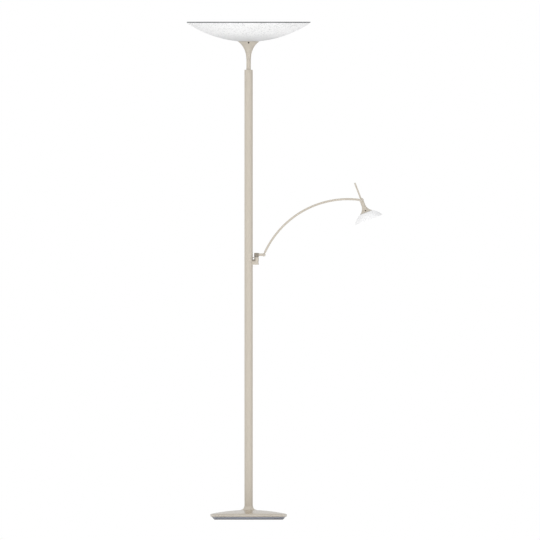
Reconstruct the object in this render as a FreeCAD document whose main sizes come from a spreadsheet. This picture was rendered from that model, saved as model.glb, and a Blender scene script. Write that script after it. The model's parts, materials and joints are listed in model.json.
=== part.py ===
import FreeCAD, Part
import math
import os

import Sketcher

# Torchiere floor lamp with a reading light on a curved arm.
# Millimetres, +Z up. The origin is on the floor, on the axis of the column; the arm reaches along +X.

doc = FreeCAD.newDocument("torchiere")
sheet = doc.addObject("Spreadsheet::Sheet", "Sizes")
V = FreeCAD.Vector
X_AXIS = V(1, 0, 0)
Y_AXIS = V(0, 1, 0)
Z_AXIS = V(0, 0, 1)


class Size:
    """A length or angle: its number now, and the expression that works it out from the sheet."""

    def __init__(self, value, text):
        self.value = float(value)
        self.text = text

    def __add__(self, other):
        other = as_size(other)
        return Size(self.value + other.value, f"({self.text} + {other.text})")

    def __radd__(self, other):
        return as_size(other) + self

    def __sub__(self, other):
        other = as_size(other)
        return Size(self.value - other.value, f"({self.text} - {other.text})")

    def __rsub__(self, other):
        return as_size(other) - self

    def __mul__(self, other):
        other = as_size(other)
        return Size(self.value * other.value, f"({self.text} * {other.text})")

    def __rmul__(self, other):
        return as_size(other) * self

    def __truediv__(self, other):
        other = as_size(other)
        return Size(self.value / other.value, f"({self.text} / {other.text})")

    def __neg__(self):
        return Size(-self.value, f"(0 - {self.text})")


def as_size(number):
    """A plain number as a Size."""
    return number if isinstance(number, Size) else Size(number, str(number))


def root(size):
    """Square root."""
    return Size(math.sqrt(size.value), f"sqrt({size.text})")


def sine(angle):
    """Sine of an angle in degrees."""
    return Size(math.sin(math.radians(angle.value)), f"sin({angle.text})")


def cosine(angle):
    """Cosine of an angle in degrees."""
    return Size(math.cos(math.radians(angle.value)), f"cos({angle.text})")


def rise(radius, across):
    """How far above its centre a circle of that radius lies, at a distance across from the centre."""
    return root(radius * radius - across * across)


def arc_angle(length, radius):
    """The angle in degrees of an arc of that length and radius."""
    return length / radius * (180 / math.pi)


# ---------------------------------------------------------------- driving dimensions
# clearances
fit_gap = 0.05  # radial gap of turned parts that are pressed or screwed together
pivot_gap = 0.06  # radial running gap of the pivot pins and of the swivel spindle
seat_gap = 0.3  # gap between glass and metal, and beside the tongues

# base
pad_radius = 125  # radius of the felt pad
pad_thick = 2.5  # thickness of the felt pad
pad_hole = 24  # radius of the hole in the felt pad
weight_foot_radius = 127.5  # radius of the weight at its lower edge
weight_step_radius = 132  # radius of the shoulder that carries the cover
weight_step_height = 6.5  # height of the shoulder above the pad
weight_core_radius = 126  # radius of the weight inside the cover
weight_core_height = 10  # height of the weight above its shoulder
boss_radius = 26  # radius of the boss in the middle of the weight
recess_radius = 18  # radius of the recess for the base nut
recess_depth = 12  # depth of the recess for the base nut
channel_width = 9  # width of the cord channel under the weight
channel_depth = 6.8  # depth of the cord channel under the weight
gland_bore = 2.8  # radius of the hole that the cord goes through
gland_length = 14  # length of the cord gland
cover_radius = 139  # largest radius of the base cover
cover_wall = 1.5  # sheet thickness of the base cover
cover_edge = 6.2  # outer radius of the rolled edge of the cover
cover_height = 26.2  # height of the dome above the shoulder of the weight
cover_seat_radius = 29  # radius of the flat seat in the middle of the cover
cover_flange = 4  # width of the turned-in flange under the cover

# column
column_radius = 15  # outer radius of the column tube
column_wall = 1.5  # wall of the column tube
column_length = 1590  # length of the column tube
collar_radius = 28  # radius of the lip of the foot collar
collar_height = 13.5  # height of the foot collar
collar_lip = 1.2  # thickness of the lip and the neck of the foot collar
plug_height = 28  # height of the plug in the foot of the column
tie_radius = 5  # outer radius of the threaded tubes
tie_bore = 3.2  # bore radius of the threaded tubes
washer_radius = 15  # radius of the base washer
washer_thick = 2  # thickness of the base washer
nut_radius = 9.2  # corner radius of the hexagon nuts
nut_height = 5  # height of the hexagon nuts
stem_radius = 8  # outer radius of the upper stem
stem_wall = 1.5  # wall of the upper stem
stem_show = 41  # length of stem that shows above the column
stem_hidden = 62  # length of stem inside the column
bush_depth = 24  # length of the top bush inside the column
bush_flange = 1.5  # thickness of the flange of the top bush
bush_inset = 0.5  # how far the flange of the bush stays inside the column's radius
guide_height = 9  # height of the lower guide ring of the stem

# upper trumpet and bowl
trumpet_neck = 8.5  # outer radius of the upper trumpet at its foot
trumpet_waist = 16.1  # outer radius of the upper trumpet where its two curves meet
trumpet_waist_height = 35.4  # height of that place above the foot
trumpet_lip = 39.6  # outer radius of the upper trumpet at its lip
trumpet_height = 63.4  # height of the upper trumpet
trumpet_lower_curve = 84  # radius of the lower curve of its outline
trumpet_upper_curve = 66  # radius of the upper curve of its outline
trumpet_wall = 1.3  # sheet thickness of the trumpets
spigot_length = 14  # depth of the joining spigot in the stem and in the trumpet
bowl_sphere = 398.8  # outer radius of the curve of the glass bowl
bowl_radius = 223.5  # radius of the rim of the glass bowl
bowl_wall = 4.5  # thickness of the glass bowl
bowl_land = 2.5  # width of the ground edge on top of the rim
gasket_radius = 20  # radius of the bowl gaskets
gasket_thick = 1.5  # thickness of the bowl gaskets
seat_height = 8.5  # height of the bowl seat
seat_foot_radius = 20.5  # radius of the bowl seat at its foot
seat_top_radius = 28.5  # radius of the bowl seat at its top
upper_screw_radius = 3  # radius of the grub screw of the upper trumpet
upper_screw_drop = 5  # drop of that screw below the trumpet's lip
screw_sink = 0.8  # how far the grub screws are sunk
dish_thick = 1.5  # thickness of the clamping disc in the bowl

# upper lamp
spacer_radius = 8  # radius of the spacer under the lamp carrier
spacer_height = 6  # height of the spacer under the lamp carrier
carrier_wall = 1.5  # sheet thickness of the lamp carrier
carrier_width = 30  # width of the lamp carrier
carrier_arm_width = 18  # width of the upright ends of the carrier
carrier_rise = 26  # height of the upright ends of the carrier
lamp_length = 117.6  # length of the double-ended lamp
lamp_radius = 5  # radius of the quartz tube
lamp_cap_radius = 3.6  # radius of the ceramic ends of the lamp
lamp_cap_length = 11  # length of the ceramic ends of the lamp
lamp_pinch = 6  # length of the tapered seal of the lamp
lamp_height = 13.5  # height of the lamp's axis above the carrier
holder_depth = 12  # depth of a lamp holder along the lamp
holder_width = 15  # width of a lamp holder
holder_height = 22  # height of a lamp holder
holder_grip = 6  # depth to which a holder takes the lamp's end
guard_radius = 13  # outer radius of the glass guard over the lamp
guard_wall = 1.6  # thickness of the glass guard

# bracket and swivel
bracket_foot = 921.5  # height of the underside of the arm bracket
bracket_height = 27  # height of the arm bracket
barrel_offset = 28.5  # distance of the swivel axis from the column's axis
barrel_radius = 8.2  # radius of the bracket's barrel and of the swivel head
neck_width = 14  # width of the bracket's neck
eye_radius = 2.9  # radius of the cross eye in the neck
eye_wall = 2.2  # wall over the cross eye
eye_clear = 2.6  # distance of the cross eye's centre from the column
bolt_radius = 3  # radius of the bracket bolt
bolt_head_radius = 5  # radius of the bolt's head
bolt_head_height = 5  # height of the bolt's head
bolt_height = 9  # height of the bolt's axis above the bracket's underside
nutsert_radius = 4.6  # radius of the blind nut in the column's wall
nutsert_flange = 1  # thickness of the bulge of the blind nut
nutsert_length = 8  # length of the blind nut inside the column
swivel_gap = 1  # gap between the barrel and the swivel head
slip_washer = 0.8  # thickness of the slip washer in that gap
swivel_height = 14.7  # height of the swivel head
swivel_edge = 1  # chamfer round the top of the swivel head
spindle_radius = 4  # radius of the swivel spindle
spindle_down = 9.5  # length of the spindle in the barrel
spindle_up = 11  # length of the spindle in the swivel head
groove_depth = 0.8  # depth of the groove round the spindle
groove_width = 3.6  # width of the groove round the spindle
stop_radius = 1.5  # radius of the stop screw in the barrel
nose_radius = 5.6  # radius of the nose of the swivel head
nose_reach = 9.2  # reach of the nose from the swivel axis
stub_radius = 4.6  # radius of the stub
stub_pin = 3  # radius of the stub's spigot
stub_pin_length = 3.6  # length of the stub's spigot
stub_reach = 26.7  # distance of the tilt pivot from the swivel axis
root_ball = 6.3  # radius of the ball round the tilt pivot

# arm
arm_curve = 330.6  # radius of the curve of the arm
arm_root_angle = 156.9  # direction of the arm's root, seen from the centre of the curve
arm_tip_angle = 81.6  # direction of the arm's tip, seen from the centre of the curve
arm_radius = 3.75  # outer radius of the arm tube
arm_wall = 1  # wall of the arm tube
arm_start = 8.9  # distance from a pivot to the end of the arm tube
tongue_thick = 3.4  # thickness of the tongues of both knuckles
tongue_radius = 5  # radius of the tongues
tongue_neck = 4.6  # depth of the neck of the tongues
tongue_spigot = 12  # length of the tongues' spigots in the arm tube
pin_radius = 1.6  # radius of both pivot pins
slot_radius = 5.4  # radius of the slot in both knuckles

# reading head
head_lean = 21  # lean of the reading head from upright
pivot_height = 75.9  # height of the head's pivot above the rim of its shade
shade_sphere = 58.3  # outer radius of the curve of the reading shade
shade_radius = 52.4  # radius of the rim of the reading shade
shade_wall = 3  # thickness of the reading shade
shade_hole_gap = 0.4  # gap round the seat's thread in the shade
horn_lip = 20.2  # outer radius of the reading trumpet at its lip
horn_neck = 7.2  # outer radius of the neck of the reading trumpet
horn_flare_height = 27  # height of the flare of the reading trumpet
horn_curve = 35  # radius of the curve of its outline
head_ball = 8.1  # radius of the ball round the head's pivot
head_shoulder = 7.4  # depth of the knuckle's shoulder below the pivot
head_spigot = 11  # length of the knuckle's spigot in the trumpet
rod_radius = 3  # radius of the handle rod
rod_length = 59  # length of the handle rod
rod_pin = 1.4  # radius of the handle rod's spigot
rod_pin_length = 1.7  # length of the handle rod's spigot
rod_round = 1.2  # rounding of the end of the handle rod
thread_radius = 8.3  # radius of the thread of the shade seat
thread_drop = 11  # length of that thread below the shade's top
flange_radius = 14.6  # radius of the flange of the shade seat
flange_height = 6  # height of the flange of the shade seat
flange_taper = 3.6  # how far that flange tapers in
socket_radius = 6.5  # radius of the ceramic lamp socket
socket_height = 19  # height of the ceramic lamp socket
ring_radius = 14  # radius of the ring nut under the shade
ring_height = 4  # height of the ring nut under the shade
capsule_radius = 4.7  # radius of the small lamp capsule
capsule_length = 16  # length of the small lamp capsule below its foot
capsule_foot_radius = 3.4  # radius of the capsule's foot
capsule_foot_length = 6  # length of the capsule's foot
socket_grip = 4.5  # depth to which the socket takes the capsule's foot
lower_screw_radius = 1.8  # radius of the grub screw of the reading trumpet
lower_screw_rise = 5  # height of that screw above the trumpet's lip
hex_share = 0.6  # size of the hexagon socket as a share of its screw
hex_depth = 2  # depth of the hexagon sockets



def cells_for(numbers):
    """Writes each driving dimension into a named cell, and returns the sizes that stand for the cells."""
    sizes = {}
    for row, (alias, value) in enumerate(numbers.items(), 1):
        sheet.set(f"A{row}", alias.replace("_", " "))
        sheet.set(f"B{row}", str(value))
        sheet.setAlias(f"B{row}", alias)
        sizes[alias] = Size(value, f"Sizes.{alias}")
    return sizes


# From here on, each of the numbers above stands for its cell.
driving = {name: value for name, value in globals().items() if type(value) in (int, float)}
globals().update(cells_for(driving))
doc.recompute()


# ---------------------------------------------------------------- modelling helpers
def bind(obj, **sizes):
    """Binds properties of an object to sizes, by name."""
    for name, size in sizes.items():
        obj.setExpression(name, as_size(size).text)


def place(obj, x=0, y=0, z=0, axis=None, angle=0):
    """Puts an object at x, y, z, turned by an angle about an axis."""
    turn = as_size(angle)
    direction = axis or Z_AXIS
    if turn.value < 0:
        turn = -turn
        direction = direction.negative()
    obj.Placement = FreeCAD.Placement(V(0, 0, 0), FreeCAD.Rotation(direction, turn.value))
    if isinstance(angle, Size):
        obj.setExpression("Placement.Rotation.Angle", turn.text)
    for name, size in (("x", x), ("y", y), ("z", z)):
        obj.setExpression(f"Placement.Base.{name}", as_size(size).text)


def new_body(name):
    """A PartDesign body with that name."""
    body = doc.addObject("PartDesign::Body", name)
    body.Label = name
    return body


def new_sketch(body, plane, offset=0):
    """A sketch on one of the body's own origin planes, moved along the plane's normal."""
    sketch = body.newObject("Sketcher::SketchObject", f"{body.Name}_outline")
    face = [feature for feature in body.Origin.OriginFeatures if feature.Role == f"{plane}_Plane"][0]
    sketch.AttachmentSupport = [(face, "")]
    sketch.MapMode = "FlatFace"
    if isinstance(offset, Size):
        sketch.setExpression("AttachmentOffset.Base.z", offset.text)
    return sketch


def locate(sketch, geometry, position, x, y):
    """Holds a point of a sketch at x, y."""
    for kind, size, axis in (("DistanceX", as_size(x), -2), ("DistanceY", as_size(y), -1)):
        if size.text == "0":
            sketch.addConstraint(Sketcher.Constraint("PointOnObject", geometry, position, axis))
            continue
        rule = Sketcher.Constraint(kind, -1, 1, geometry, position, size.value)
        sketch.setExpression(f"Constraints[{sketch.addConstraint(rule)}]", size.text)


def draw_circle(sketch, x, y, radius):
    """A circle in a sketch."""
    centre = V(as_size(x).value, as_size(y).value, 0)
    circle = sketch.addGeometry(Part.Circle(centre, Z_AXIS, as_size(radius).value))
    locate(sketch, circle, 3, x, y)
    rule = sketch.addConstraint(Sketcher.Constraint("Radius", circle, as_size(radius).value))
    sketch.setExpression(f"Constraints[{rule}]", as_size(radius).text)


def arc_between(start, end, radius, side):
    """The short arc from start to end whose centre lies to the left or right of the way."""
    chord = end - start
    across = V(-chord.y, chord.x, 0).normalize()
    if side == "right":
        across = across.negative()
    depth = math.sqrt(radius**2 - (chord.Length / 2) ** 2)
    centre = (start + end) * 0.5 + across * depth
    first, last = (start, end) if side == "left" else (end, start)
    angles = [math.atan2(p.y - centre.y, p.x - centre.x) for p in (first, last)]
    return Part.ArcOfCircle(Part.Circle(centre, Z_AXIS, radius), *angles)


def draw_outline(sketch, *corners):
    """A closed outline. A corner is (x, y), or (x, y, radius, side) where an arc arrives there."""
    points = [V(as_size(corner[0]).value, as_size(corner[1]).value, 0) for corner in corners]
    edges = []
    for number, corner in enumerate(corners):
        start = points[number - 1]
        end = points[number]
        if len(corner) == 2:
            edge = sketch.addGeometry(Part.LineSegment(start, end))
            edges.append((edge, 1, 2))
            continue
        edge = sketch.addGeometry(arc_between(start, end, corner[2].value, corner[3]))
        edges.append((edge, 1, 2) if corner[3] == "left" else (edge, 2, 1))
        rule = sketch.addConstraint(Sketcher.Constraint("Radius", edge, corner[2].value))
        sketch.setExpression(f"Constraints[{rule}]", corner[2].text)
    for number, corner in enumerate(corners):
        edge, _, tail = edges[number]
        following, head, _ = edges[(number + 1) % len(corners)]
        sketch.addConstraint(Sketcher.Constraint("Coincident", edge, tail, following, head))
        locate(sketch, edge, tail, corner[0], corner[1])


def revolve(body, *corners, axis="V_Axis", plane="XZ"):
    """Turns a closed outline, drawn beside an axis of the plane, into a solid."""
    sketch = new_sketch(body, plane)
    draw_outline(sketch, *corners)
    turned = body.newObject("PartDesign::Revolution", f"{body.Name}_turned")
    turned.Profile = sketch
    turned.ReferenceAxis = (sketch, [axis])
    turned.Angle = 360
    return body


def turned_part(name, *corners, axis="V_Axis"):
    """A turned piece from the outline of half its section."""
    return revolve(new_body(name), *corners, axis=axis)


def both_ways(feature, length):
    """Lets a pad or pocket run to both sides of its sketch, with that total length."""
    feature.SideType = "Symmetric"
    bind(feature, Length=length)


def cut_across(body, plane, length, *corners):
    """Cuts a closed outline out of a body, to both sides of the plane."""
    sketch = new_sketch(body, plane)
    draw_outline(sketch, *corners)
    cut = body.newObject("PartDesign::Pocket", f"{body.Name}_cut")
    cut.Profile = sketch
    both_ways(cut, length)


def drill_across(body, plane, length, x, y, radius):
    """Drills a round hole through a body, to both sides of the plane."""
    sketch = new_sketch(body, plane)
    draw_circle(sketch, x, y, radius)
    cut = body.newObject("PartDesign::Pocket", f"{body.Name}_hole")
    cut.Profile = sketch
    both_ways(cut, length)


def drill_from(body, plane, offset, depth, x, y, radius, forward):
    """Drills a round hole from a plane moved by an offset, along or against the plane's normal."""
    sketch = new_sketch(body, plane, offset)
    draw_circle(sketch, x, y, radius)
    cut = body.newObject("PartDesign::Pocket", f"{body.Name}_drill")
    cut.Profile = sketch
    cut.Reversed = forward
    bind(cut, Length=depth)


def cylinder(name, radius, height):
    """A plain cylinder on the Z axis, to be used in booleans."""
    shape = doc.addObject("Part::Cylinder", name)
    bind(shape, Radius=radius, Height=height)
    return shape


def block(name, length, width, height):
    """A plain block, to be used in booleans."""
    shape = doc.addObject("Part::Box", name)
    bind(shape, Length=length, Width=width, Height=height)
    return shape


def ring_segment(name, curve, radius, angle):
    """A round bar bent to a curve, through an angle from the X axis."""
    shape = doc.addObject("Part::Torus", name)
    bind(shape, Radius1=curve, Radius2=radius, Angle3=angle)
    return shape


def cut_from(name, base, tool):
    """One solid less another."""
    result = doc.addObject("Part::Cut", name)
    result.Base = base
    result.Tool = tool
    result.Label = name
    return result


def fuse(name, *shapes):
    """Several solids as one."""
    result = doc.addObject("Part::MultiFuse", name)
    result.Shapes = list(shapes)
    result.Label = name
    return result


def tube(name, radius, wall, foot, length):
    """An upright tube on the column's axis."""
    return turned_part(
        name,
        (radius - wall, foot),
        (radius, foot),
        (radius, foot + length),
        (radius - wall, foot + length),
    )


def ring(name, inner, outer, foot, height):
    """A flat upright ring on the column's axis."""
    return tube(name, outer, outer - inner, foot, height)


def hexagon_nut(name, foot):
    """A hexagon nut on one of the threaded tubes."""
    prism = doc.addObject("Part::Prism", f"{name}_blank")
    prism.Polygon = 6
    bind(prism, Circumradius=nut_radius, Height=nut_height)
    nut = cut_from(name, prism, cylinder(f"{name}_bore", tie_radius + fit_gap, nut_height))
    place(nut, z=foot)
    return nut


def grub_screw(name, radius, length):
    """A grub screw along -Y with a hexagon socket, its inner end at its own origin."""
    shank = cylinder(f"{name}_shank", radius, length)
    socket = doc.addObject("Part::Prism", f"{name}_socket")
    socket.Polygon = 6
    bind(socket, Circumradius=radius * hex_share, Height=hex_depth)
    place(socket, z=length - hex_depth)
    return cut_from(name, shank, socket)


# ---------------------------------------------------------------- base
weight_foot = pad_thick
step_z = weight_foot + weight_step_height
core_z = step_z + weight_core_height
edge_radius = cover_radius - cover_edge
edge_z = step_z + cover_edge
apex_z = step_z + cover_height
over_edge = apex_z - edge_z
# The dome is the circle that passes through the apex and runs smoothly into the rolled edge.
dome_curve = (edge_radius * edge_radius + over_edge * over_edge - cover_edge * cover_edge) / (
    2 * (over_edge - cover_edge)
)
dome_centre = apex_z - dome_curve
dome_share = dome_curve / (dome_curve - cover_edge)
dome_end_r = edge_radius * dome_share
dome_end_z = dome_centre + (edge_z - dome_centre) * dome_share
column_foot = dome_centre + rise(dome_curve, cover_seat_radius)
inner_dome = dome_curve - cover_wall
inner_edge = cover_edge - cover_wall
inner_share = inner_dome / (inner_dome - inner_edge)
inner_end_r = edge_radius * inner_share
inner_end_z = dome_centre + (edge_z - dome_centre) * inner_share
inner_seat_z = column_foot - cover_wall
inner_seat_r = root(inner_dome * inner_dome - (inner_seat_z - dome_centre) * (inner_seat_z - dome_centre))
tie_hole = tie_radius + seat_gap

base_pad = ring("base_pad", pad_hole, pad_radius, Size(0, "0"), pad_thick)

base_weight = turned_part(
    "base_weight",
    (tie_hole, weight_foot + recess_depth),
    (recess_radius, weight_foot + recess_depth),
    (recess_radius, weight_foot),
    (weight_foot_radius, weight_foot),
    (weight_step_radius, step_z),
    (weight_core_radius, step_z),
    (weight_core_radius, core_z),
    (boss_radius + weight_core_height, core_z),
    (boss_radius, inner_seat_z),
    (tie_hole, inner_seat_z),
)
channel_sketch = new_sketch(base_weight, "XY", weight_foot)
draw_outline(
    channel_sketch,
    (-channel_width / 2, recess_radius / 2),
    (channel_width / 2, recess_radius / 2),
    (channel_width / 2, weight_step_radius + 1),
    (-channel_width / 2, weight_step_radius + 1),
)
channel = base_weight.newObject("PartDesign::Pocket", "cord_channel")
channel.Profile = channel_sketch
channel.Reversed = True
bind(channel, Length=channel_depth)

base_cover = turned_part(
    "base_cover",
    (tie_hole, inner_seat_z),
    (inner_seat_r, inner_seat_z),
    (inner_end_r, inner_end_z, inner_dome, "right"),
    (edge_radius + inner_edge, edge_z, inner_edge, "right"),
    (edge_radius, edge_z - inner_edge, inner_edge, "right"),
    (edge_radius - cover_flange, edge_z - inner_edge),
    (edge_radius - cover_flange, step_z),
    (edge_radius, step_z),
    (edge_radius + cover_edge, edge_z, cover_edge, "left"),
    (dome_end_r, dome_end_z, cover_edge, "left"),
    (cover_seat_radius, column_foot, dome_curve, "left"),
    (tie_hole, column_foot),
)

gland_block = block("gland_block", channel_width - 2 * fit_gap, gland_length, channel_depth - 2 * fit_gap)
place(gland_block, x=fit_gap - channel_width / 2, y=-gland_length, z=fit_gap - channel_depth / 2)
gland_hole = cylinder("gland_hole", gland_bore, gland_length)
place(gland_hole, axis=X_AXIS, angle=90)
cord_gland = cut_from("cord_gland", gland_block, gland_hole)
place(cord_gland, y=weight_foot_radius, z=weight_foot + channel_depth / 2)

base_washer = ring(
    "base_washer", tie_hole, washer_radius, weight_foot + recess_depth - washer_thick, washer_thick
)
base_nut = hexagon_nut("base_nut", weight_foot + recess_depth - washer_thick - nut_height)
tie_foot = weight_foot + fit_gap
base_tie = tube("base_tie", tie_radius, tie_radius - tie_bore, tie_foot, column_foot + plug_height - tie_foot)

# ---------------------------------------------------------------- column
column_top = column_foot + column_length
column_bore = column_radius - column_wall
plug_radius = column_bore - fit_gap
collar_bore = column_radius + fit_gap
collar_sweep = collar_radius - collar_bore - collar_lip

column_tube = tube("column_tube", column_radius, column_wall, column_foot, column_length)
drill_from(
    column_tube,
    "YZ",
    column_radius / 2,
    column_radius,
    0,
    bracket_foot + bolt_height,
    nutsert_radius + fit_gap,
    True,
)

foot_collar = turned_part(
    "foot_collar",
    (collar_bore, column_foot),
    (collar_radius, column_foot),
    (collar_radius, column_foot + collar_lip),
    (collar_bore + collar_lip, column_foot + collar_height, root(
        (collar_sweep * collar_sweep + (collar_height - collar_lip) * (collar_height - collar_lip)) / 2
    ), "right"),
    (collar_bore, column_foot + collar_height),
)
column_plug = ring("column_plug", tie_radius + fit_gap, plug_radius, column_foot, plug_height)

bush_flange_radius = column_radius - bush_inset
top_bush = turned_part(
    "top_bush",
    (stem_radius + fit_gap, column_top - bush_depth),
    (plug_radius, column_top - bush_depth),
    (plug_radius, column_top),
    (bush_flange_radius, column_top),
    (bush_flange_radius, column_top + bush_flange),
    (stem_radius + fit_gap, column_top + bush_flange),
)
stem_foot = column_top - stem_hidden
stem_top = column_top + stem_show
upper_stem = tube("upper_stem", stem_radius, stem_wall, stem_foot, stem_top - stem_foot)
stem_guide = ring("stem_guide", stem_radius + fit_gap, plug_radius, stem_foot, guide_height)

# ---------------------------------------------------------------- upper trumpet and glass bowl
lip_z = stem_top + trumpet_height
bowl_centre = lip_z + seat_gap + rise(bowl_sphere, trumpet_lip - trumpet_wall)
bowl_foot = bowl_centre - bowl_sphere
bowl_inner = bowl_sphere - bowl_wall
bowl_hole = tie_radius + seat_gap
rim_inner = bowl_radius - bowl_land
rim_top = bowl_centre - rise(bowl_inner, rim_inner)
stem_bore = stem_radius - stem_wall

upper_trumpet = turned_part(
    "upper_trumpet",
    (trumpet_neck, stem_top),
    (trumpet_waist, stem_top + trumpet_waist_height, trumpet_lower_curve, "right"),
    (trumpet_lip, lip_z, trumpet_upper_curve, "right"),
    (trumpet_lip - trumpet_wall, lip_z),
    (
        trumpet_waist - trumpet_wall,
        stem_top + trumpet_waist_height,
        trumpet_upper_curve + trumpet_wall,
        "left",
    ),
    (trumpet_neck - trumpet_wall, stem_top, trumpet_lower_curve + trumpet_wall, "left"),
)
upper_screw_z = lip_z - upper_screw_drop
drill_from(
    upper_trumpet, "XZ", seat_foot_radius, trumpet_lip, 0, upper_screw_z, upper_screw_radius + fit_gap, True
)

stem_spigot = turned_part(
    "stem_spigot",
    (tie_radius + fit_gap, stem_top - spigot_length),
    (stem_bore - fit_gap, stem_top - spigot_length),
    (stem_bore - fit_gap, stem_top),
    (trumpet_neck - trumpet_wall - fit_gap, stem_top),
    (trumpet_neck - trumpet_wall - fit_gap, stem_top + spigot_length),
    (tie_radius + fit_gap, stem_top + spigot_length),
)

seat_top = bowl_foot - gasket_thick - fit_gap
bowl_seat = turned_part(
    "bowl_seat",
    (tie_radius + fit_gap, seat_top - seat_height),
    (seat_foot_radius, seat_top - seat_height),
    (seat_top_radius, seat_top - seat_height / 3),
    (seat_top_radius, seat_top),
    (tie_radius + fit_gap, seat_top),
)
drill_from(
    bowl_seat,
    "XZ",
    seat_foot_radius,
    seat_top_radius,
    0,
    upper_screw_z,
    upper_screw_radius + fit_gap,
    True,
)
# Where the trumpet's outside lies at the height of the screw.
waist_z = stem_top + trumpet_waist_height
upper_screw_reach = trumpet_waist + (trumpet_lip - trumpet_waist) * (upper_screw_z - waist_z) / (
    lip_z - waist_z
) - 2 * screw_sink
upper_grub_screw = grub_screw(
    "upper_grub_screw", upper_screw_radius, upper_screw_reach - screw_sink - seat_foot_radius
)
place(upper_grub_screw, y=-seat_foot_radius, z=upper_screw_z, axis=X_AXIS, angle=90)

lower_gasket = ring("lower_gasket", bowl_hole, gasket_radius, seat_top, gasket_thick)
glass_bowl = turned_part(
    "glass_bowl",
    (bowl_hole, bowl_centre - rise(bowl_sphere, bowl_hole)),
    (bowl_radius, bowl_centre - rise(bowl_sphere, bowl_radius), bowl_sphere, "left"),
    (bowl_radius, rim_top),
    (rim_inner, rim_top),
    (bowl_hole, bowl_centre - rise(bowl_inner, bowl_hole), bowl_inner, "right"),
)
gasket_foot = bowl_centre - rise(bowl_inner, gasket_radius) + fit_gap
upper_gasket = ring("upper_gasket", bowl_hole, gasket_radius, gasket_foot, gasket_thick)
dish_foot = gasket_foot + gasket_thick
clamp_disc = ring("clamp_disc", bowl_hole, gasket_radius - gasket_thick, dish_foot, dish_thick)

# ---------------------------------------------------------------- upper lamp
spacer_foot = dish_foot + dish_thick
carrier_foot = spacer_foot + spacer_height
carrier_top = carrier_foot + carrier_wall
carrier_spacer = ring("carrier_spacer", tie_radius + fit_gap, spacer_radius, spacer_foot, spacer_height)
carrier_nut = hexagon_nut("carrier_nut", carrier_top)
bowl_tie_foot = stem_top - spigot_length
bowl_tie = tube(
    "bowl_tie",
    tie_radius,
    tie_radius - tie_bore,
    bowl_tie_foot,
    carrier_top + nut_height - bowl_tie_foot,
)

lamp_half = lamp_length / 2
holder_inner = lamp_half - holder_grip
holder_outer = holder_inner + holder_depth
carrier_half = holder_outer + carrier_wall
lamp_z = carrier_top + lamp_height

lamp_carrier = new_body("lamp_carrier")
carrier_sketch = new_sketch(lamp_carrier, "XZ")
draw_outline(
    carrier_sketch,
    (-carrier_half, carrier_foot),
    (carrier_half, carrier_foot),
    (carrier_half, carrier_top + carrier_rise),
    (holder_outer, carrier_top + carrier_rise),
    (holder_outer, carrier_top),
    (-holder_outer, carrier_top),
    (-holder_outer, carrier_top + carrier_rise),
    (-carrier_half, carrier_top + carrier_rise),
)
carrier_pad = lamp_carrier.newObject("PartDesign::Pad", "carrier_strip")
carrier_pad.Profile = carrier_sketch
both_ways(carrier_pad, carrier_width)
for side in (1, -1):
    far = side * carrier_width
    near = side * carrier_arm_width / 2
    cut_across(
        lamp_carrier,
        "YZ",
        4 * carrier_half,
        *[(near, carrier_top), (far, carrier_top), (far, carrier_top + 2 * carrier_rise), (near, carrier_top + 2 * carrier_rise)][:: side],
    )
drill_from(lamp_carrier, "XY", carrier_foot, 2 * carrier_wall, 0, 0, tie_radius + fit_gap, True)

for side, name in ((-1, "lamp_holder_left"), (1, "lamp_holder_right")):
    holder = block(f"{name}_block", holder_depth, holder_width, holder_height)
    place(holder, x=holder_inner, y=-holder_width / 2, z=carrier_top)
    grip = cylinder(f"{name}_grip", lamp_cap_radius + fit_gap, holder_grip + fit_gap)
    place(grip, x=holder_inner, z=lamp_z, axis=Y_AXIS, angle=90)
    result = cut_from(name, holder, grip)
    place(result, axis=Z_AXIS, angle=90 - side * 90)

glass_half = lamp_half - lamp_cap_length
halogen_lamp = turned_part(
    "halogen_lamp",
    (-lamp_half, 0),
    (lamp_half, 0),
    (lamp_half, lamp_cap_radius),
    (glass_half, lamp_cap_radius),
    (glass_half - lamp_pinch, lamp_radius),
    (-(glass_half - lamp_pinch), lamp_radius),
    (-glass_half, lamp_cap_radius),
    (-lamp_half, lamp_cap_radius),
    axis="H_Axis",
)
place(halogen_lamp, z=lamp_z)

guard_inner = guard_radius - guard_wall
guard_glass = new_body("guard_glass")
guard_sketch = new_sketch(guard_glass, "YZ")
draw_outline(
    guard_sketch,
    (guard_inner, carrier_top),
    (guard_radius, carrier_top),
    (guard_radius, lamp_z),
    (0, lamp_z + guard_radius, guard_radius, "left"),
    (-guard_radius, lamp_z, guard_radius, "left"),
    (-guard_radius, carrier_top),
    (-guard_inner, carrier_top),
    (-guard_inner, lamp_z),
    (0, lamp_z + guard_inner, guard_inner, "right"),
    (guard_inner, lamp_z, guard_inner, "right"),
)
guard_pad = guard_glass.newObject("PartDesign::Pad", "guard_length")
guard_pad.Profile = guard_sketch
both_ways(guard_pad, 2 * (holder_inner - seat_gap))

# ---------------------------------------------------------------- bracket on the column
bracket_top = bracket_foot + bracket_height
barrel_solid_top = bracket_top - spindle_down - fit_gap
bolt_z = bracket_foot + bolt_height
eye_x = column_radius + eye_clear
neck_top = bracket_top - fit_gap
eye_z = neck_top - eye_wall - eye_radius
bolt_end = column_radius - column_wall - nutsert_length

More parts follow.
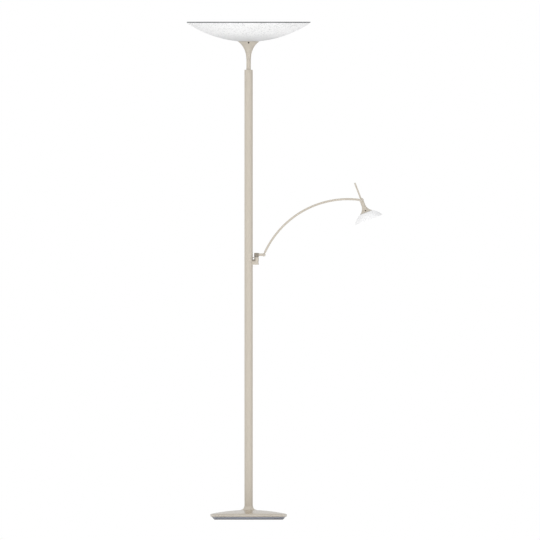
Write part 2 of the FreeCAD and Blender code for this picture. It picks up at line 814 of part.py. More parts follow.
bracket_block = block("bracket_block", barrel_offset, neck_width, bracket_height - fit_gap)
place(bracket_block, y=-neck_width / 2, z=bracket_foot)
bracket_barrel = cylinder("bracket_barrel", barrel_radius, bracket_height)
place(bracket_barrel, x=barrel_offset, z=bracket_foot)
bracket_solid = fuse("bracket_solid", bracket_block, bracket_barrel)
bracket_column = cylinder("bracket_column", column_radius + fit_gap, bracket_height)
place(bracket_column, z=bracket_foot)
bracket_eye = cylinder("bracket_eye", eye_radius, neck_width)
place(bracket_eye, x=eye_x, y=neck_width / 2, z=eye_z, axis=X_AXIS, angle=90)
bracket_bore = cylinder("bracket_bore", spindle_radius + pivot_gap, spindle_down + fit_gap)
place(bracket_bore, x=barrel_offset, z=barrel_solid_top)
bracket_bolt_hole = cylinder("bracket_bolt_hole", bolt_radius + fit_gap, barrel_offset + barrel_radius)
place(bracket_bolt_hole, z=bolt_z, axis=Y_AXIS, angle=90)
bolt_head_x = barrel_offset + barrel_radius - bolt_head_height - screw_sink
bracket_sink = cylinder("bracket_sink", bolt_head_radius + fit_gap, barrel_radius)
place(bracket_sink, x=bolt_head_x, z=bolt_z, axis=Y_AXIS, angle=90)
stop_z = barrel_solid_top + spindle_down / 2
bracket_stop_hole = cylinder("bracket_stop_hole", stop_radius + fit_gap, 2 * barrel_radius)
place(bracket_stop_hole, x=barrel_offset, z=stop_z, axis=X_AXIS, angle=-90)
bracket_cuts = fuse(
    "bracket_cuts",
    bracket_column,
    bracket_eye,
    bracket_bore,
    bracket_bolt_hole,
    bracket_sink,
    bracket_stop_hole,
)
arm_bracket = cut_from("arm_bracket", bracket_solid, bracket_cuts)

bolt_shank = cylinder("bolt_shank", bolt_radius, bolt_head_x - bolt_end)
bolt_head = cylinder("bolt_head", bolt_head_radius, bolt_head_height)
place(bolt_head, z=bolt_head_x - bolt_end)
bolt_socket = doc.addObject("Part::Prism", "bolt_socket")
bolt_socket.Polygon = 6
bind(bolt_socket, Circumradius=bolt_head_radius * hex_share, Height=hex_depth)
place(bolt_socket, z=bolt_head_x - bolt_end + bolt_head_height - hex_depth)
bracket_bolt = cut_from("bracket_bolt", fuse("bolt_blank", bolt_shank, bolt_head), bolt_socket)
place(bracket_bolt, x=bolt_end, z=bolt_z, axis=Y_AXIS, angle=90)

# The blind nut sits in the column's wall: its barrel inside, its bulge behind the wall.
bulge_x = rise(column_bore, nutsert_radius + nutsert_flange) - fit_gap
blind_nut = turned_part(
    "blind_nut",
    (bolt_end, bolt_radius + fit_gap),
    (rise(column_radius, nutsert_radius), bolt_radius + fit_gap),
    (rise(column_radius, nutsert_radius), nutsert_radius),
    (bulge_x, nutsert_radius),
    (bulge_x, nutsert_radius + nutsert_flange),
    (bulge_x - 2 * nutsert_flange, nutsert_radius + nutsert_flange),
    (bulge_x - 3 * nutsert_flange, nutsert_radius),
    (bolt_end, nutsert_radius),
    axis="H_Axis",
)
place(blind_nut, z=bolt_z)

stop_tip = spindle_radius - groove_depth + pivot_gap * 2
swivel_stop_screw = grub_screw("swivel_stop_screw", stop_radius, barrel_radius - screw_sink - stop_tip)
place(swivel_stop_screw, x=barrel_offset, y=stop_tip, z=stop_z, axis=X_AXIS, angle=-90)

swivel_washer = ring(
    "swivel_washer", spindle_radius + seat_gap, barrel_radius - swivel_edge, bracket_top, slip_washer
)
place(swivel_washer, x=barrel_offset)

# ---------------------------------------------------------------- swivel
swivel_foot = bracket_top + swivel_gap
swivel_top = swivel_foot + swivel_height
pivot_z = swivel_foot + swivel_height - barrel_radius + swivel_edge + seat_gap * 2
spindle_foot = bracket_top - spindle_down
spindle_top = swivel_foot + spindle_up

swivel_blank = turned_part(
    "swivel_blank",
    (0, swivel_foot),
    (barrel_radius, swivel_foot),
    (barrel_radius, swivel_top - swivel_edge),
    (barrel_radius - swivel_edge, swivel_top),
    (0, swivel_top),
)
swivel_nose = cylinder("swivel_nose", nose_radius, nose_reach)
place(swivel_nose, z=pivot_z, axis=Y_AXIS, angle=90)
swivel_solid = fuse("swivel_solid", swivel_blank, swivel_nose)
swivel_bore = cylinder("swivel_bore", spindle_radius + fit_gap, spindle_up + fit_gap)
place(swivel_bore, z=swivel_foot)
swivel_hole = cylinder("swivel_hole", stub_pin + fit_gap, stub_pin_length + fit_gap)
place(swivel_hole, x=nose_reach - stub_pin_length - fit_gap, z=pivot_z, axis=Y_AXIS, angle=90)
swivel_head = cut_from("swivel_head", swivel_solid, fuse("swivel_cuts", swivel_bore, swivel_hole))
place(swivel_head, x=barrel_offset)

groove_foot = stop_z - groove_width / 2
swivel_spindle = turned_part(
    "swivel_spindle",
    (0, spindle_foot),
    (spindle_radius, spindle_foot),
    (spindle_radius, groove_foot),
    (spindle_radius - groove_depth, groove_foot),
    (spindle_radius - groove_depth, groove_foot + groove_width),
    (spindle_radius, groove_foot + groove_width),
    (spindle_radius, spindle_top),
    (0, spindle_top),
)
place(swivel_spindle, x=barrel_offset)

# The stub ends in a ball that is slotted for the arm's tongue.
root_x = barrel_offset + stub_reach
slot_width = tongue_thick + 2 * seat_gap
stub_meet = rise(root_ball, stub_radius)
stub_rod = turned_part(
    "stub_rod",
    (nose_reach - stub_pin_length - stub_reach, 0),
    (root_ball, 0),
    (0, root_ball, root_ball, "left"),
    (-stub_meet, stub_radius, root_ball, "left"),
    (nose_reach - stub_reach, stub_radius),
    (nose_reach - stub_reach, stub_pin),
    (nose_reach - stub_pin_length - stub_reach, stub_pin),
    axis="H_Axis",
)
cut_across(
    stub_rod,
    "XZ",
    slot_width,
    (2 * root_ball, -slot_radius),
    (2 * root_ball, 2 * root_ball),
    (-slot_radius, 2 * root_ball),
    (-slot_radius, 0),
    (0, -slot_radius, slot_radius, "left"),
)
drill_across(stub_rod, "XZ", 4 * root_ball, 0, 0, pin_radius + fit_gap / 2)
place(stub_rod, x=root_x, z=pivot_z)


def pivot_pin(name, ball):
    """A pivot pin along Y, flush with a ball."""
    pin = cylinder(name, pin_radius, 2 * (rise(ball, pin_radius) - fit_gap))
    pin.Label = name
    return pin


tilt_pin = pivot_pin("tilt_pin", root_ball)
place(tilt_pin, x=root_x, y=rise(root_ball, pin_radius) - fit_gap, z=pivot_z, axis=X_AXIS, angle=90)

# ---------------------------------------------------------------- arm
curve_x = root_x - arm_curve * cosine(arm_root_angle)
curve_z = pivot_z - arm_curve * sine(arm_root_angle)
tip_x = curve_x + arm_curve * cosine(arm_tip_angle)
tip_z = curve_z + arm_curve * sine(arm_tip_angle)
start_angle = arc_angle(arm_start, arm_curve)
tube_sweep = arm_root_angle - arm_tip_angle - 2 * start_angle
arm_bore = arm_radius - arm_wall

arm_outer = ring_segment("arm_outer", arm_curve, arm_radius, tube_sweep)
place(arm_outer, axis=X_AXIS, angle=90)
arm_inner = ring_segment("arm_inner", arm_curve, arm_bore, tube_sweep)
place(arm_inner, axis=X_AXIS, angle=90)
arm_tube = cut_from("arm_tube", arm_outer, arm_inner)
place(arm_tube, x=curve_x, z=curve_z, axis=Y_AXIS, angle=-(arm_tip_angle + start_angle))


def arm_tongue(name, direction, end_angle):
    """A tongue with its eye, whose spigot follows the curve of the arm tube. direction is +1 or -1."""
    spigot_angle = arc_angle(tongue_spigot, arm_curve)
    spigot = ring_segment(f"{name}_spigot", arm_curve, arm_bore - fit_gap, spigot_angle)
    place(spigot, axis=X_AXIS, angle=direction * 90)
    eye_x_here = arm_curve * cosine(start_angle)
    eye_z_here = -direction * arm_curve * sine(start_angle)
    disc = cylinder(f"{name}_disc", tongue_radius, tongue_thick)
    place(disc, x=eye_x_here, y=tongue_thick / 2, z=eye_z_here, axis=X_AXIS, angle=90)
    neck = block(f"{name}_neck", tongue_neck, tongue_thick, arm_start)
    low = -arm_start if direction > 0 else Size(0, "0")
    place(neck, x=arm_curve - tongue_neck / 2, y=-tongue_thick / 2, z=low)
    hole = cylinder(f"{name}_hole", pin_radius + pivot_gap, 2 * tongue_thick)
    place(hole, x=eye_x_here, y=tongue_thick, z=eye_z_here, axis=X_AXIS, angle=90)
    tongue = cut_from(name, fuse(f"{name}_blank", spigot, disc, neck), hole)
    place(tongue, x=curve_x, z=curve_z, axis=Y_AXIS, angle=-end_angle)
    return tongue


arm_root_tongue = arm_tongue("arm_root_tongue", -1, arm_root_angle - start_angle)
arm_tip_tongue = arm_tongue("arm_tip_tongue", 1, arm_tip_angle + start_angle)

# ---------------------------------------------------------------- reading head, in its own frame
# Its origin is the middle of the shade's rim and its axis leans back from upright.
head_x = tip_x + pivot_height * sine(head_lean)
head_z = tip_z - pivot_height * cosine(head_lean)


def hang(piece):
    """Puts a piece of the reading head in its place on the lamp."""
    place(piece, x=head_x, z=head_z, axis=Y_AXIS, angle=-head_lean)
    return piece


shade_centre = -rise(shade_sphere, shade_radius)
shade_top = shade_centre + shade_sphere
shade_inner = shade_sphere - shade_wall
shade_hole = thread_radius + shade_hole_gap
shade_rim_inner = root(shade_inner * shade_inner - shade_centre * shade_centre)
horn_foot = shade_centre + rise(shade_sphere, horn_lip - trumpet_wall) + seat_gap
horn_shoulder = horn_foot + horn_flare_height
horn_top = pivot_height - head_shoulder

reading_shade = turned_part(
    "reading_shade",
    (shade_radius, 0),
    (shade_hole, shade_centre + rise(shade_sphere, shade_hole), shade_sphere, "left"),
    (shade_hole, shade_centre + rise(shade_inner, shade_hole)),
    (shade_rim_inner, 0, shade_inner, "right"),
)
hang(reading_shade)

reading_trumpet = turned_part(
    "reading_trumpet",
    (horn_lip, horn_foot),
    (horn_neck, horn_shoulder, horn_curve, "right"),
    (horn_neck, horn_top),
    (horn_neck - trumpet_wall, horn_top),
    (horn_neck - trumpet_wall, horn_shoulder),
    (horn_lip - trumpet_wall, horn_foot, horn_curve + trumpet_wall, "left"),
)
lower_screw_z = horn_foot + lower_screw_rise
screw_seat = thread_radius + 2
drill_from(
    reading_trumpet, "XZ", screw_seat, horn_lip, 0, lower_screw_z, lower_screw_radius + fit_gap, True
)
hang(reading_trumpet)

head_knuckle = turned_part(
    "head_knuckle",
    (0, pivot_height - head_shoulder - head_spigot),
    (horn_neck - trumpet_wall - fit_gap, pivot_height - head_shoulder - head_spigot),
    (horn_neck - trumpet_wall - fit_gap, pivot_height - head_shoulder),
    (horn_neck, pivot_height - head_shoulder),
    (horn_neck, pivot_height - rise(head_ball, horn_neck)),
    (head_ball, pivot_height, head_ball, "left"),
    (rod_radius, pivot_height + rise(head_ball, rod_radius), head_ball, "left"),
    (0, pivot_height + rise(head_ball, rod_radius)),
)
cut_across(
    head_knuckle,
    "XZ",
    slot_width,
    (-head_ball / 2, pivot_height + head_ball + 1),
    (-2 * head_ball, pivot_height + head_ball + 1),
    (-2 * head_ball, pivot_height - slot_radius),
    (0, pivot_height - slot_radius),
    (slot_radius, pivot_height, slot_radius, "left"),
    (0, pivot_height + slot_radius, slot_radius, "left"),
)
drill_across(head_knuckle, "XZ", 4 * head_ball, 0, pivot_height, pin_radius + fit_gap / 2)
rod_foot = pivot_height + rise(head_ball, rod_radius)
drill_from(
    head_knuckle, "XY", rod_foot - rod_pin_length - fit_gap, head_ball, 0, 0, rod_pin + fit_gap, True
)
hang(head_knuckle)

head_pin = pivot_pin("head_pin", head_ball)
place(head_pin, x=tip_x, y=rise(head_ball, pin_radius) - fit_gap, z=tip_z, axis=X_AXIS, angle=90)

handle_rod = turned_part(
    "handle_rod",
    (0, rod_foot - rod_pin_length),
    (rod_pin, rod_foot - rod_pin_length),
    (rod_pin, rod_foot),
    (rod_radius, rod_foot),
    (rod_radius, rod_foot + rod_length - rod_round),
    (rod_radius - rod_round, rod_foot + rod_length, rod_round, "left"),
    (0, rod_foot + rod_length),
)
hang(handle_rod)

# The seat's flange lies over the shade, its thread goes down through the shade's hole.
seat_curve = shade_sphere + seat_gap
flange_low = shade_centre + rise(seat_curve, flange_radius)
flange_top = flange_low + flange_height
thread_foot = shade_top - thread_drop
shade_seat = turned_part(
    "shade_seat",
    (socket_radius + fit_gap, thread_foot),
    (thread_radius, thread_foot),
    (thread_radius, shade_centre + rise(seat_curve, thread_radius)),
    (flange_radius, flange_low, seat_curve, "right"),
    (flange_radius - flange_taper, flange_top),
    (socket_radius + fit_gap, flange_top),
)
drill_from(
    shade_seat, "XZ", screw_seat, flange_radius, 0, lower_screw_z, lower_screw_radius + fit_gap, True
)
hang(shade_seat)

ring_top = shade_centre + rise(shade_inner, ring_radius) - seat_gap
shade_ring_nut = ring(
    "shade_ring_nut", thread_radius + fit_gap, ring_radius, ring_top - ring_height, ring_height
)
hang(shade_ring_nut)

socket_foot = thread_foot + fit_gap
lamp_socket = turned_part(
    "lamp_socket",
    (0, socket_foot + socket_grip),
    (capsule_foot_radius + fit_gap, socket_foot + socket_grip),
    (capsule_foot_radius + fit_gap, socket_foot),
    (socket_radius, socket_foot),
    (socket_radius, socket_foot + socket_height),
    (0, socket_foot + socket_height),
)
hang(lamp_socket)

foot_top = socket_foot + socket_grip - fit_gap
capsule_top = foot_top - capsule_foot_length
capsule_low = capsule_top - capsule_length
lamp_capsule = turned_part(
    "lamp_capsule",
    (0, capsule_low),
    (capsule_radius, capsule_low + capsule_radius, capsule_radius, "left"),
    (capsule_radius, capsule_top),
    (capsule_foot_radius, capsule_top),
    (capsule_foot_radius, foot_top),
    (0, foot_top),
)
hang(lamp_capsule)

# Where the reading trumpet's outside lies at the height of the screw.
horn_drop = horn_shoulder - lower_screw_z
lower_screw_face = horn_neck + horn_curve - rise(horn_curve, horn_drop) - screw_sink
reading_grub_screw = grub_screw(
    "reading_grub_screw", lower_screw_radius, lower_screw_face - screw_sink - screw_seat
)
place(
    reading_grub_screw,
    x=head_x - lower_screw_z * sine(head_lean),
    y=-screw_seat,
    z=head_z + lower_screw_z * cosine(head_lean),
    axis=X_AXIS,
    angle=90,
)

# ---------------------------------------------------------------- check and write
NODES = """
base_pad base_weight base_cover cord_gland base_washer base_nut base_tie
column_tube foot_collar column_plug top_bush upper_stem stem_guide
upper_trumpet stem_spigot bowl_seat upper_grub_screw lower_gasket glass_bowl upper_gasket clamp_disc
carrier_spacer carrier_nut bowl_tie lamp_carrier lamp_holder_left lamp_holder_right halogen_lamp guard_glass
arm_bracket bracket_bolt blind_nut swivel_stop_screw swivel_washer
swivel_head swivel_spindle stub_rod tilt_pin
arm_tube arm_root_tongue arm_tip_tongue
reading_shade reading_trumpet head_knuckle head_pin handle_rod shade_seat shade_ring_nut
lamp_socket lamp_capsule reading_grub_screw
""".split()

doc.recompute()
faults = [obj.Name for obj in doc.Objects if {"Invalid", "Error"} & set(obj.State)]
for node in NODES:
    found = doc.getObjectsByLabel(node)
    if len(found) != 1 or found[0].Shape.isNull() or not found[0].Shape.isValid():
        faults.append(node)
if faults:
    raise RuntimeError(f"these did not build: {faults}")

os.makedirs("parts", exist_ok=True)
for node in NODES:
    shape = doc.getObjectsByLabel(node)[0].Shape
    shape.exportStep(f"parts/{node}.step")
    box = shape.BoundBox
    print(
        f"{node:20s} solids {len(shape.Solids)} volume {shape.Volume:11.1f}"
        f" x {box.XMin:8.2f} {box.XMax:8.2f} y {box.YMin:8.2f} {box.YMax:8.2f} z {box.ZMin:8.2f} {box.ZMax:8.2f}"
    )
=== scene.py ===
import json
import logging
import math
from dataclasses import dataclass
from enum import Enum
from functools import cache

import bpy
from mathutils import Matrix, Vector


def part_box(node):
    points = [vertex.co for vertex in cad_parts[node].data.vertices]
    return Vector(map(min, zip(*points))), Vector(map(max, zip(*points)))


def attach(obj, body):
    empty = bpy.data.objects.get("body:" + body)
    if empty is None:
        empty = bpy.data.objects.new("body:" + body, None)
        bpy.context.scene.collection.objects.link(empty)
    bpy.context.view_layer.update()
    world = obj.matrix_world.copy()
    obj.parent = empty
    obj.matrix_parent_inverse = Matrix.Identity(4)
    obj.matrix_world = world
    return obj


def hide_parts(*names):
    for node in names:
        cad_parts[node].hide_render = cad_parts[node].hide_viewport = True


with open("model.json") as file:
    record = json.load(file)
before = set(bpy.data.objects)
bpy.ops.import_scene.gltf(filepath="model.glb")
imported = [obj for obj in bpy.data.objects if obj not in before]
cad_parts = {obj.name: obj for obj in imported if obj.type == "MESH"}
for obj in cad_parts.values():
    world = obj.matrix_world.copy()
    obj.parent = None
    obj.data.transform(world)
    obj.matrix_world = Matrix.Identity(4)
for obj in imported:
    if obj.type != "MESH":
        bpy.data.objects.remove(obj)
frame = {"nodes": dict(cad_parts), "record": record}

MM = 0.001
ON_AXIS = 0.004  # a radius in millimetres that counts as lying on the axis
WELD = 0.00002  # points closer than this, in metres, are merged
EASED = math.radians(35)  # edges that turn more than this are eased
CREASED = math.radians(32)  # edges that turn more than this stay sharp to the eye

NOISE_ROUGHNESS = 0.6
COAT_ROUGHNESS = 0.25
GLASS_IOR = 1.5
QUARTZ_IOR = 1.46
# The values of a noise or a height that become 0 and 1.
GRAIN_SPAN = (0.32, 0.68)
DRIFT_SPAN = (0.3, 0.7)
FROST_SPAN = (0.22, 0.56)
FROST_GLOSS_SPAN = (0.2, 0.8)
FROST_CELL_RISE = 0.35  # how far a cell of the frost stands above and its seam below

Point = tuple[float, float]
Outline = list[Point]
Colour = tuple[float, float, float]
Tree = bpy.types.NodeTree
Node = bpy.types.Node
Socket = bpy.types.NodeSocket
Material = bpy.types.Material
Piece = bpy.types.Object
log = logging.getLogger("torchiere")


class Body(Enum):
    """The bodies that the pieces made here ride on."""

    STAND = "stand"
    ARM = "arm"
    HEAD = "reading_head"


class Side(Enum):
    """The side of its way on which an arc's centre lies."""

    LEFT = 1
    RIGHT = -1


class Relief(Enum):
    """The kind of fine relief that a surface has."""

    GRAIN = "grain"
    TURNED = "turned"


# --- shared effects
def new_group(name: str, inputs: dict[str, object], outputs: dict[str, str]) -> Tree:
    """Makes an empty shader node group.

    Args:
        name: The group's name.
        inputs: Each input's start value by name, a number or a colour.
        outputs: Each output's socket type by name.

    Returns:
        The group, with its two end nodes.
    """
    group = bpy.data.node_groups.new(name, "ShaderNodeTree")
    for label, value in inputs.items():
        kind = "NodeSocketFloat" if isinstance(value, float) else "NodeSocketColor"
        socket = group.interface.new_socket(name=label, in_out="INPUT", socket_type=kind)
        socket.default_value = value
    for label, kind in outputs.items():
        group.interface.new_socket(name=label, in_out="OUTPUT", socket_type=kind)
    group.nodes.new("NodeGroupInput")
    group.nodes.new("NodeGroupOutput")
    return group


def group_ends(group: Tree) -> tuple[Node, Node]:
    """The input node and the output node of a group."""
    ends = {node.bl_idname: node for node in group.nodes}
    return ends["NodeGroupInput"], ends["NodeGroupOutput"]


def wire(tree: Tree, *links: tuple[Node, str, Node, str | int]) -> None:
    """Links nodes, each link given as a node, its output, the next node and its input."""
    for source, output, goal, entry in links:
        tree.links.new(source.outputs[output], goal.inputs[entry])


def add_group(tree: Tree, group: Tree, values: dict[str, object]) -> Node:
    """Adds a node group to a material.

    Args:
        tree: The material's nodes.
        group: The group.
        values: Its inputs' values by name, a number or a colour.

    Returns:
        The group's node.
    """
    node = tree.nodes.new("ShaderNodeGroup")
    node.node_tree = group
    for label, value in values.items():
        node.inputs[label].default_value = value if isinstance(value, float) else (*value, 1)
    return node


def noise_of_object(group: Tree, scale: Socket, detail: float) -> Node:
    """Adds a noise on the piece's own coordinates.

    Args:
        group: The group that gets it.
        scale: The socket that sets its scale.
        detail: Its number of finer layers.

    Returns:
        The noise node.
    """
    place = group.nodes.new("ShaderNodeTexCoord")
    noise = group.nodes.new("ShaderNodeTexNoise")
    noise.inputs["Detail"].default_value = detail
    noise.inputs["Roughness"].default_value = NOISE_ROUGHNESS
    wire(group, (place, "Object", noise, "Vector"))
    group.links.new(scale, noise.inputs["Scale"])
    return noise


def spread(
    group: Tree, value: Socket, low: float, high: float, to_low: object = 0.0, to_high: object = 1.0
) -> Socket:
    """Maps a value onto a new range.

    Args:
        group: The group or material tree that gets the node.
        value: The socket that is mapped.
        low: The value that maps to to_low.
        high: The value that maps to to_high.
        to_low: A number, or a socket that gives it.
        to_high: A number, or a socket that gives it.

    Returns:
        The mapped socket.
    """
    node = group.nodes.new("ShaderNodeMapRange")
    node.inputs["From Min"].default_value = low
    node.inputs["From Max"].default_value = high
    for label, goal in (("To Min", to_low), ("To Max", to_high)):
        if isinstance(goal, float):
            node.inputs[label].default_value = goal
        else:
            group.links.new(goal, node.inputs[label])
    group.links.new(value, node.inputs["Value"])
    return node.outputs["Result"]


def blend_colours(group: Tree, share: Socket, first: Socket, second: Socket) -> Socket:
    """Mixes two colours by a share.

    Args:
        group: The group that gets the node.
        share: How much of the second colour shows.
        first: The first colour.
        second: The second colour.

    Returns:
        The mixed colour.
    """
    node = group.nodes.new("ShaderNodeMix")
    node.data_type = "RGBA"
    sockets = [socket for socket in node.inputs if socket.enabled]
    by_name = {socket.name: socket for socket in sockets}
    for label, source in (("Factor", share), ("A", first), ("B", second)):
        group.links.new(source, by_name[label])
    return [socket for socket in node.outputs if socket.enabled][0]


@cache
def grain_group() -> Tree:
    """A fine grain: two tints in small specks, their height, and gloss that drifts over the piece.

    Returns:
        The group, which is built once.
    """
    group = new_group(
        "fine_grain",
        {
            "Scale": 900.0,
            "Light": (1, 1, 1, 1),
            "Dark": (0, 0, 0, 1),
            "Smooth": 0.3,
            "Rough": 0.5,
            "Drift": 14.0,
        },
        {"Tint": "NodeSocketColor", "Height": "NodeSocketFloat", "Roughness": "NodeSocketFloat"},
    )
    start, end = group_ends(group)
    grain = noise_of_object(group, start.outputs["Scale"], 3.0)
    specks = spread(group, grain.outputs["Fac"], *GRAIN_SPAN)
    tint = blend_colours(group, specks, start.outputs["Dark"], start.outputs["Light"])
    drift = noise_of_object(group, start.outputs["Drift"], 2.0)
    gloss = spread(
        group, drift.outputs["Fac"], *DRIFT_SPAN, start.outputs["Smooth"], start.outputs["Rough"]
    )
    wire(group, (grain, "Fac", end, "Height"))
    group.links.new(tint, end.inputs["Tint"])
    group.links.new(gloss, end.inputs["Roughness"])
    return group


@cache
def turned_group() -> Tree:
    """The faint rings that a turning or brushing tool leaves round the Z axis.

    Returns:
        The group, which is built once.
    """
    group = new_group("turned_rings", {"Rings": 2500.0}, {"Height": "NodeSocketFloat"})
    start, end = group_ends(group)
    place = group.nodes.new("ShaderNodeTexCoord")
    split = group.nodes.new("ShaderNodeSeparateXYZ")
    join = group.nodes.new("ShaderNodeCombineXYZ")
    radius = group.nodes.new("ShaderNodeVectorMath")
    flat = group.nodes.new("ShaderNodeCombineXYZ")
    noise = group.nodes.new("ShaderNodeTexNoise")
    radius.operation = "LENGTH"
    noise.inputs["Detail"].default_value = 2.0
    wire(
        group,
        (place, "Object", split, "Vector"),
        (split, "X", flat, "X"),
        (split, "Y", flat, "Y"),
        (flat, "Vector", radius, 0),
        (radius, "Value", join, "X"),
        (split, "Z", join, "Z"),
        (join, "Vector", noise, "Vector"),
        (start, "Rings", noise, "Scale"),
        (noise, "Fac", end, "Height"),
    )
    return group


@cache
def frost_group() -> Tree:
    """Frosted glass: bright cells between darker seams, with painted shade that makes it greyer
    towards the foot of a height range.

    Returns:
        The group, which is built once.
    """
    group = new_group(
        "frost",
        {
            "Cells": 260.0,
            "Light": (1, 1, 1, 1),
            "Dark": (0.6, 0.6, 0.6, 1),
            "PaintedShade": (0.7, 0.7, 0.7, 1),
            "Low": 0.0,
            "High": 1.0,
        },
        {"Tint": "NodeSocketColor", "Height": "NodeSocketFloat"},
    )
    start, end = group_ends(group)
    grain = noise_of_object(group, start.outputs["Cells"], 5.0)
    cells = group.nodes.new("ShaderNodeTexVoronoi")
    cells.feature = "SMOOTH_F1"
    place = group.nodes.new("ShaderNodeTexCoord")
    both = group.nodes.new("ShaderNodeMath")
    both.operation = "ADD"
    rise = spread(group, cells.outputs["Distance"], 0.0, 1.0, FROST_CELL_RISE, -FROST_CELL_RISE)
    specks = spread(group, both.outputs["Value"], *FROST_SPAN)
    tint = blend_colours(group, specks, start.outputs["Dark"], start.outputs["Light"])
    # Painted shade: below Low the tint turns to the grey painted shade colour, greyer towards the
    # foot.
    split = group.nodes.new("ShaderNodeSeparateXYZ")
    height = group.nodes.new("ShaderNodeMapRange")
    height.interpolation_type = "SMOOTHSTEP"
    shaded = blend_colours(group, height.outputs["Result"], start.outputs["PaintedShade"], tint)
    wire(
        group,
        (place, "Object", cells, "Vector"),
        (start, "Cells", cells, "Scale"),
        (grain, "Fac", both, 0),
        (place, "Object", split, "Vector"),
        (split, "Z", height, "Value"),
        (start, "Low", height, "From Min"),
        (start, "High", height, "From Max"),
        (both, "Value", end, "Height"),
    )
    group.links.new(rise, both.inputs[1])
    group.links.new(shaded, end.inputs["Tint"])
    return group


# --- finishes
@dataclass(frozen=True)
class Finish:
    """An opaque surface: two close tints in a grain, its gloss and its fine relief.

    Lengths are in millimetres, grain and drift in spots per metre.
    """

    name: str
    light: Colour
    dark: Colour
    smooth: float
    rough: float
    metallic: float = 0.0
    grain: float = 900.0
    drift: float = 14.0
    relief_depth: float = 0.01
    relief: Relief = Relief.GRAIN
    coat: float = 0.0
    sheen: float = 0.0

    def material(self) -> Material:
        """Builds the finish's material, the first time that it is asked for.

        Returns:
            The material.
        """
        title = f"look_{self.name}"
        if title in bpy.data.materials:
            return bpy.data.materials[title]
        material = bpy.data.materials.new(title)
        material.use_nodes = True
        tree = material.node_tree
        self.fill_in(tree, tree.nodes["Principled BSDF"])
        return material

    def fill_in(self, tree: Tree, shader: Node) -> None:
        """Wires up the shader.

        Args:
            tree: The material's nodes.
            shader: Its Principled BSDF.
        """
        shader.inputs["Metallic"].default_value = self.metallic
        shader.inputs["Coat Weight"].default_value = self.coat
        shader.inputs["Coat Roughness"].default_value = COAT_ROUGHNESS
        shader.inputs["Sheen Weight"].default_value = self.sheen
        look = {
            "Scale": self.grain, "Drift": self.drift, "Light": self.light, "Dark": self.dark,
            "Smooth": self.smooth, "Rough": self.rough,
        }
        grain = add_group(tree, grain_group(), look)
        wire(tree, (grain, "Tint", shader, "Base Color"), (grain, "Roughness", shader, "Roughness"))
        height = grain.outputs["Height"]
        if self.relief is Relief.TURNED:
            height = add_group(tree, turned_group(), {}).outputs["Height"]
        add_relief(tree, shader, height, self.relief_depth)


def add_relief(tree: Tree, shader: Node, height: Socket, depth: float) -> None:
    """Lets a height raise a surface's fine relief.

    Args:
        tree: The material's nodes.
        shader: Its Principled BSDF.
        height: The height, from 0 to 1.
        depth: The relief's depth in millimetres.
    """
    bump = tree.nodes.new("ShaderNodeBump")
    bump.inputs["Strength"].default_value = 1.0
    bump.inputs["Distance"].default_value = depth * MM
    tree.links.new(height, bump.inputs["Height"])
    tree.links.new(bump.outputs["Normal"], shader.inputs["Normal"])


@dataclass(frozen=True)
class FrostedGlass(Finish):
    """White frosted glass, with painted shade that makes it greyer below a height. low and high are
    heights in metres.
    """

    # painted shade: the grey that the glass takes below low, fading back to its own tint by high
    shade: Colour = (0.7, 0.7, 0.7)
    cells: float = 260.0
    low: float = 0.0
    high: float = 1.0
    transmission: float = 0.1

    def fill_in(self, tree: Tree, shader: Node) -> None:
        """Wires up the shader, as the plain finish does.

        Args:
            tree: The material's nodes.
            shader: Its Principled BSDF.
        """
        look = {
            "Cells": self.cells, "Light": self.light, "Dark": self.dark, "PaintedShade": self.shade,
            "Low": self.low, "High": self.high,
        }
        frost = add_group(tree, frost_group(), look)
        shader.inputs["Transmission Weight"].default_value = self.transmission
        shader.inputs["IOR"].default_value = GLASS_IOR
        tree.links.new(frost.outputs["Tint"], shader.inputs["Base Color"])
        rough = spread(tree, frost.outputs["Height"], *FROST_GLOSS_SPAN, self.smooth, self.rough)
        tree.links.new(rough, shader.inputs["Roughness"])
        add_relief(tree, shader, frost.outputs["Height"], self.relief_depth)


@dataclass(frozen=True)
class ClearGlass(Finish):
    """Clear glass or quartz with a few faint ripples."""

    def fill_in(self, tree: Tree, shader: Node) -> None:
        """Wires up the shader, as the plain finish does.

        Args:
            tree: The material's nodes.
            shader: Its Principled BSDF.
        """
        super().fill_in(tree, shader)
        shader.inputs["Transmission Weight"].default_value = 1.0
        shader.inputs["IOR"].default_value = QUARTZ_IOR


@dataclass(frozen=True)
class BracketLacquer(Finish):
    """Lacquer with painted shade, darker in the narrow gap beside the column.

    near and far are metres along X, floor and ledge metres above the ground.
    """

    painted_shade_tint: Colour = (0.2, 0.2, 0.2)
    near: float = 0.02
    far: float = 0.025
    floor: float = 0.9
    ledge: float = 0.91

    def fill_in(self, tree: Tree, shader: Node) -> None:
        """Wires up the shader, as the plain finish does.

        Args:
            tree: The material's nodes.
            shader: Its Principled BSDF.
        """
        super().fill_in(tree, shader)
        place = tree.nodes.new("ShaderNodeTexCoord")
        split = tree.nodes.new("ShaderNodeSeparateXYZ")
        tree.links.new(place.outputs["Object"], split.inputs["Vector"])
        # Painted shade: nearer the axis than near and above ledge, the lacquer turns to the painted
        # shade tint, fading out towards far and down to floor.
        unshaded_share = tree.nodes.new("ShaderNodeMath")
        unshaded_share.operation = "MAXIMUM"
        tree.links.new(spread(tree, split.outputs["X"], self.near, self.far), unshaded_share.inputs[0])
        below = spread(tree, split.outputs["Z"], self.floor, self.ledge, 1.0, 0.0)
        tree.links.new(below, unshaded_share.inputs[1])
        painted_shade = tree.nodes.new("ShaderNodeRGB")
        painted_shade.outputs["Color"].default_value = (*self.painted_shade_tint, 1)
        lacquer = shader.inputs["Base Color"].links[0].from_socket
        tint = blend_colours(tree, unshaded_share.outputs["Value"], painted_shade.outputs["Color"], lacquer)
        tree.links.new(tint, shader.inputs["Base Color"])


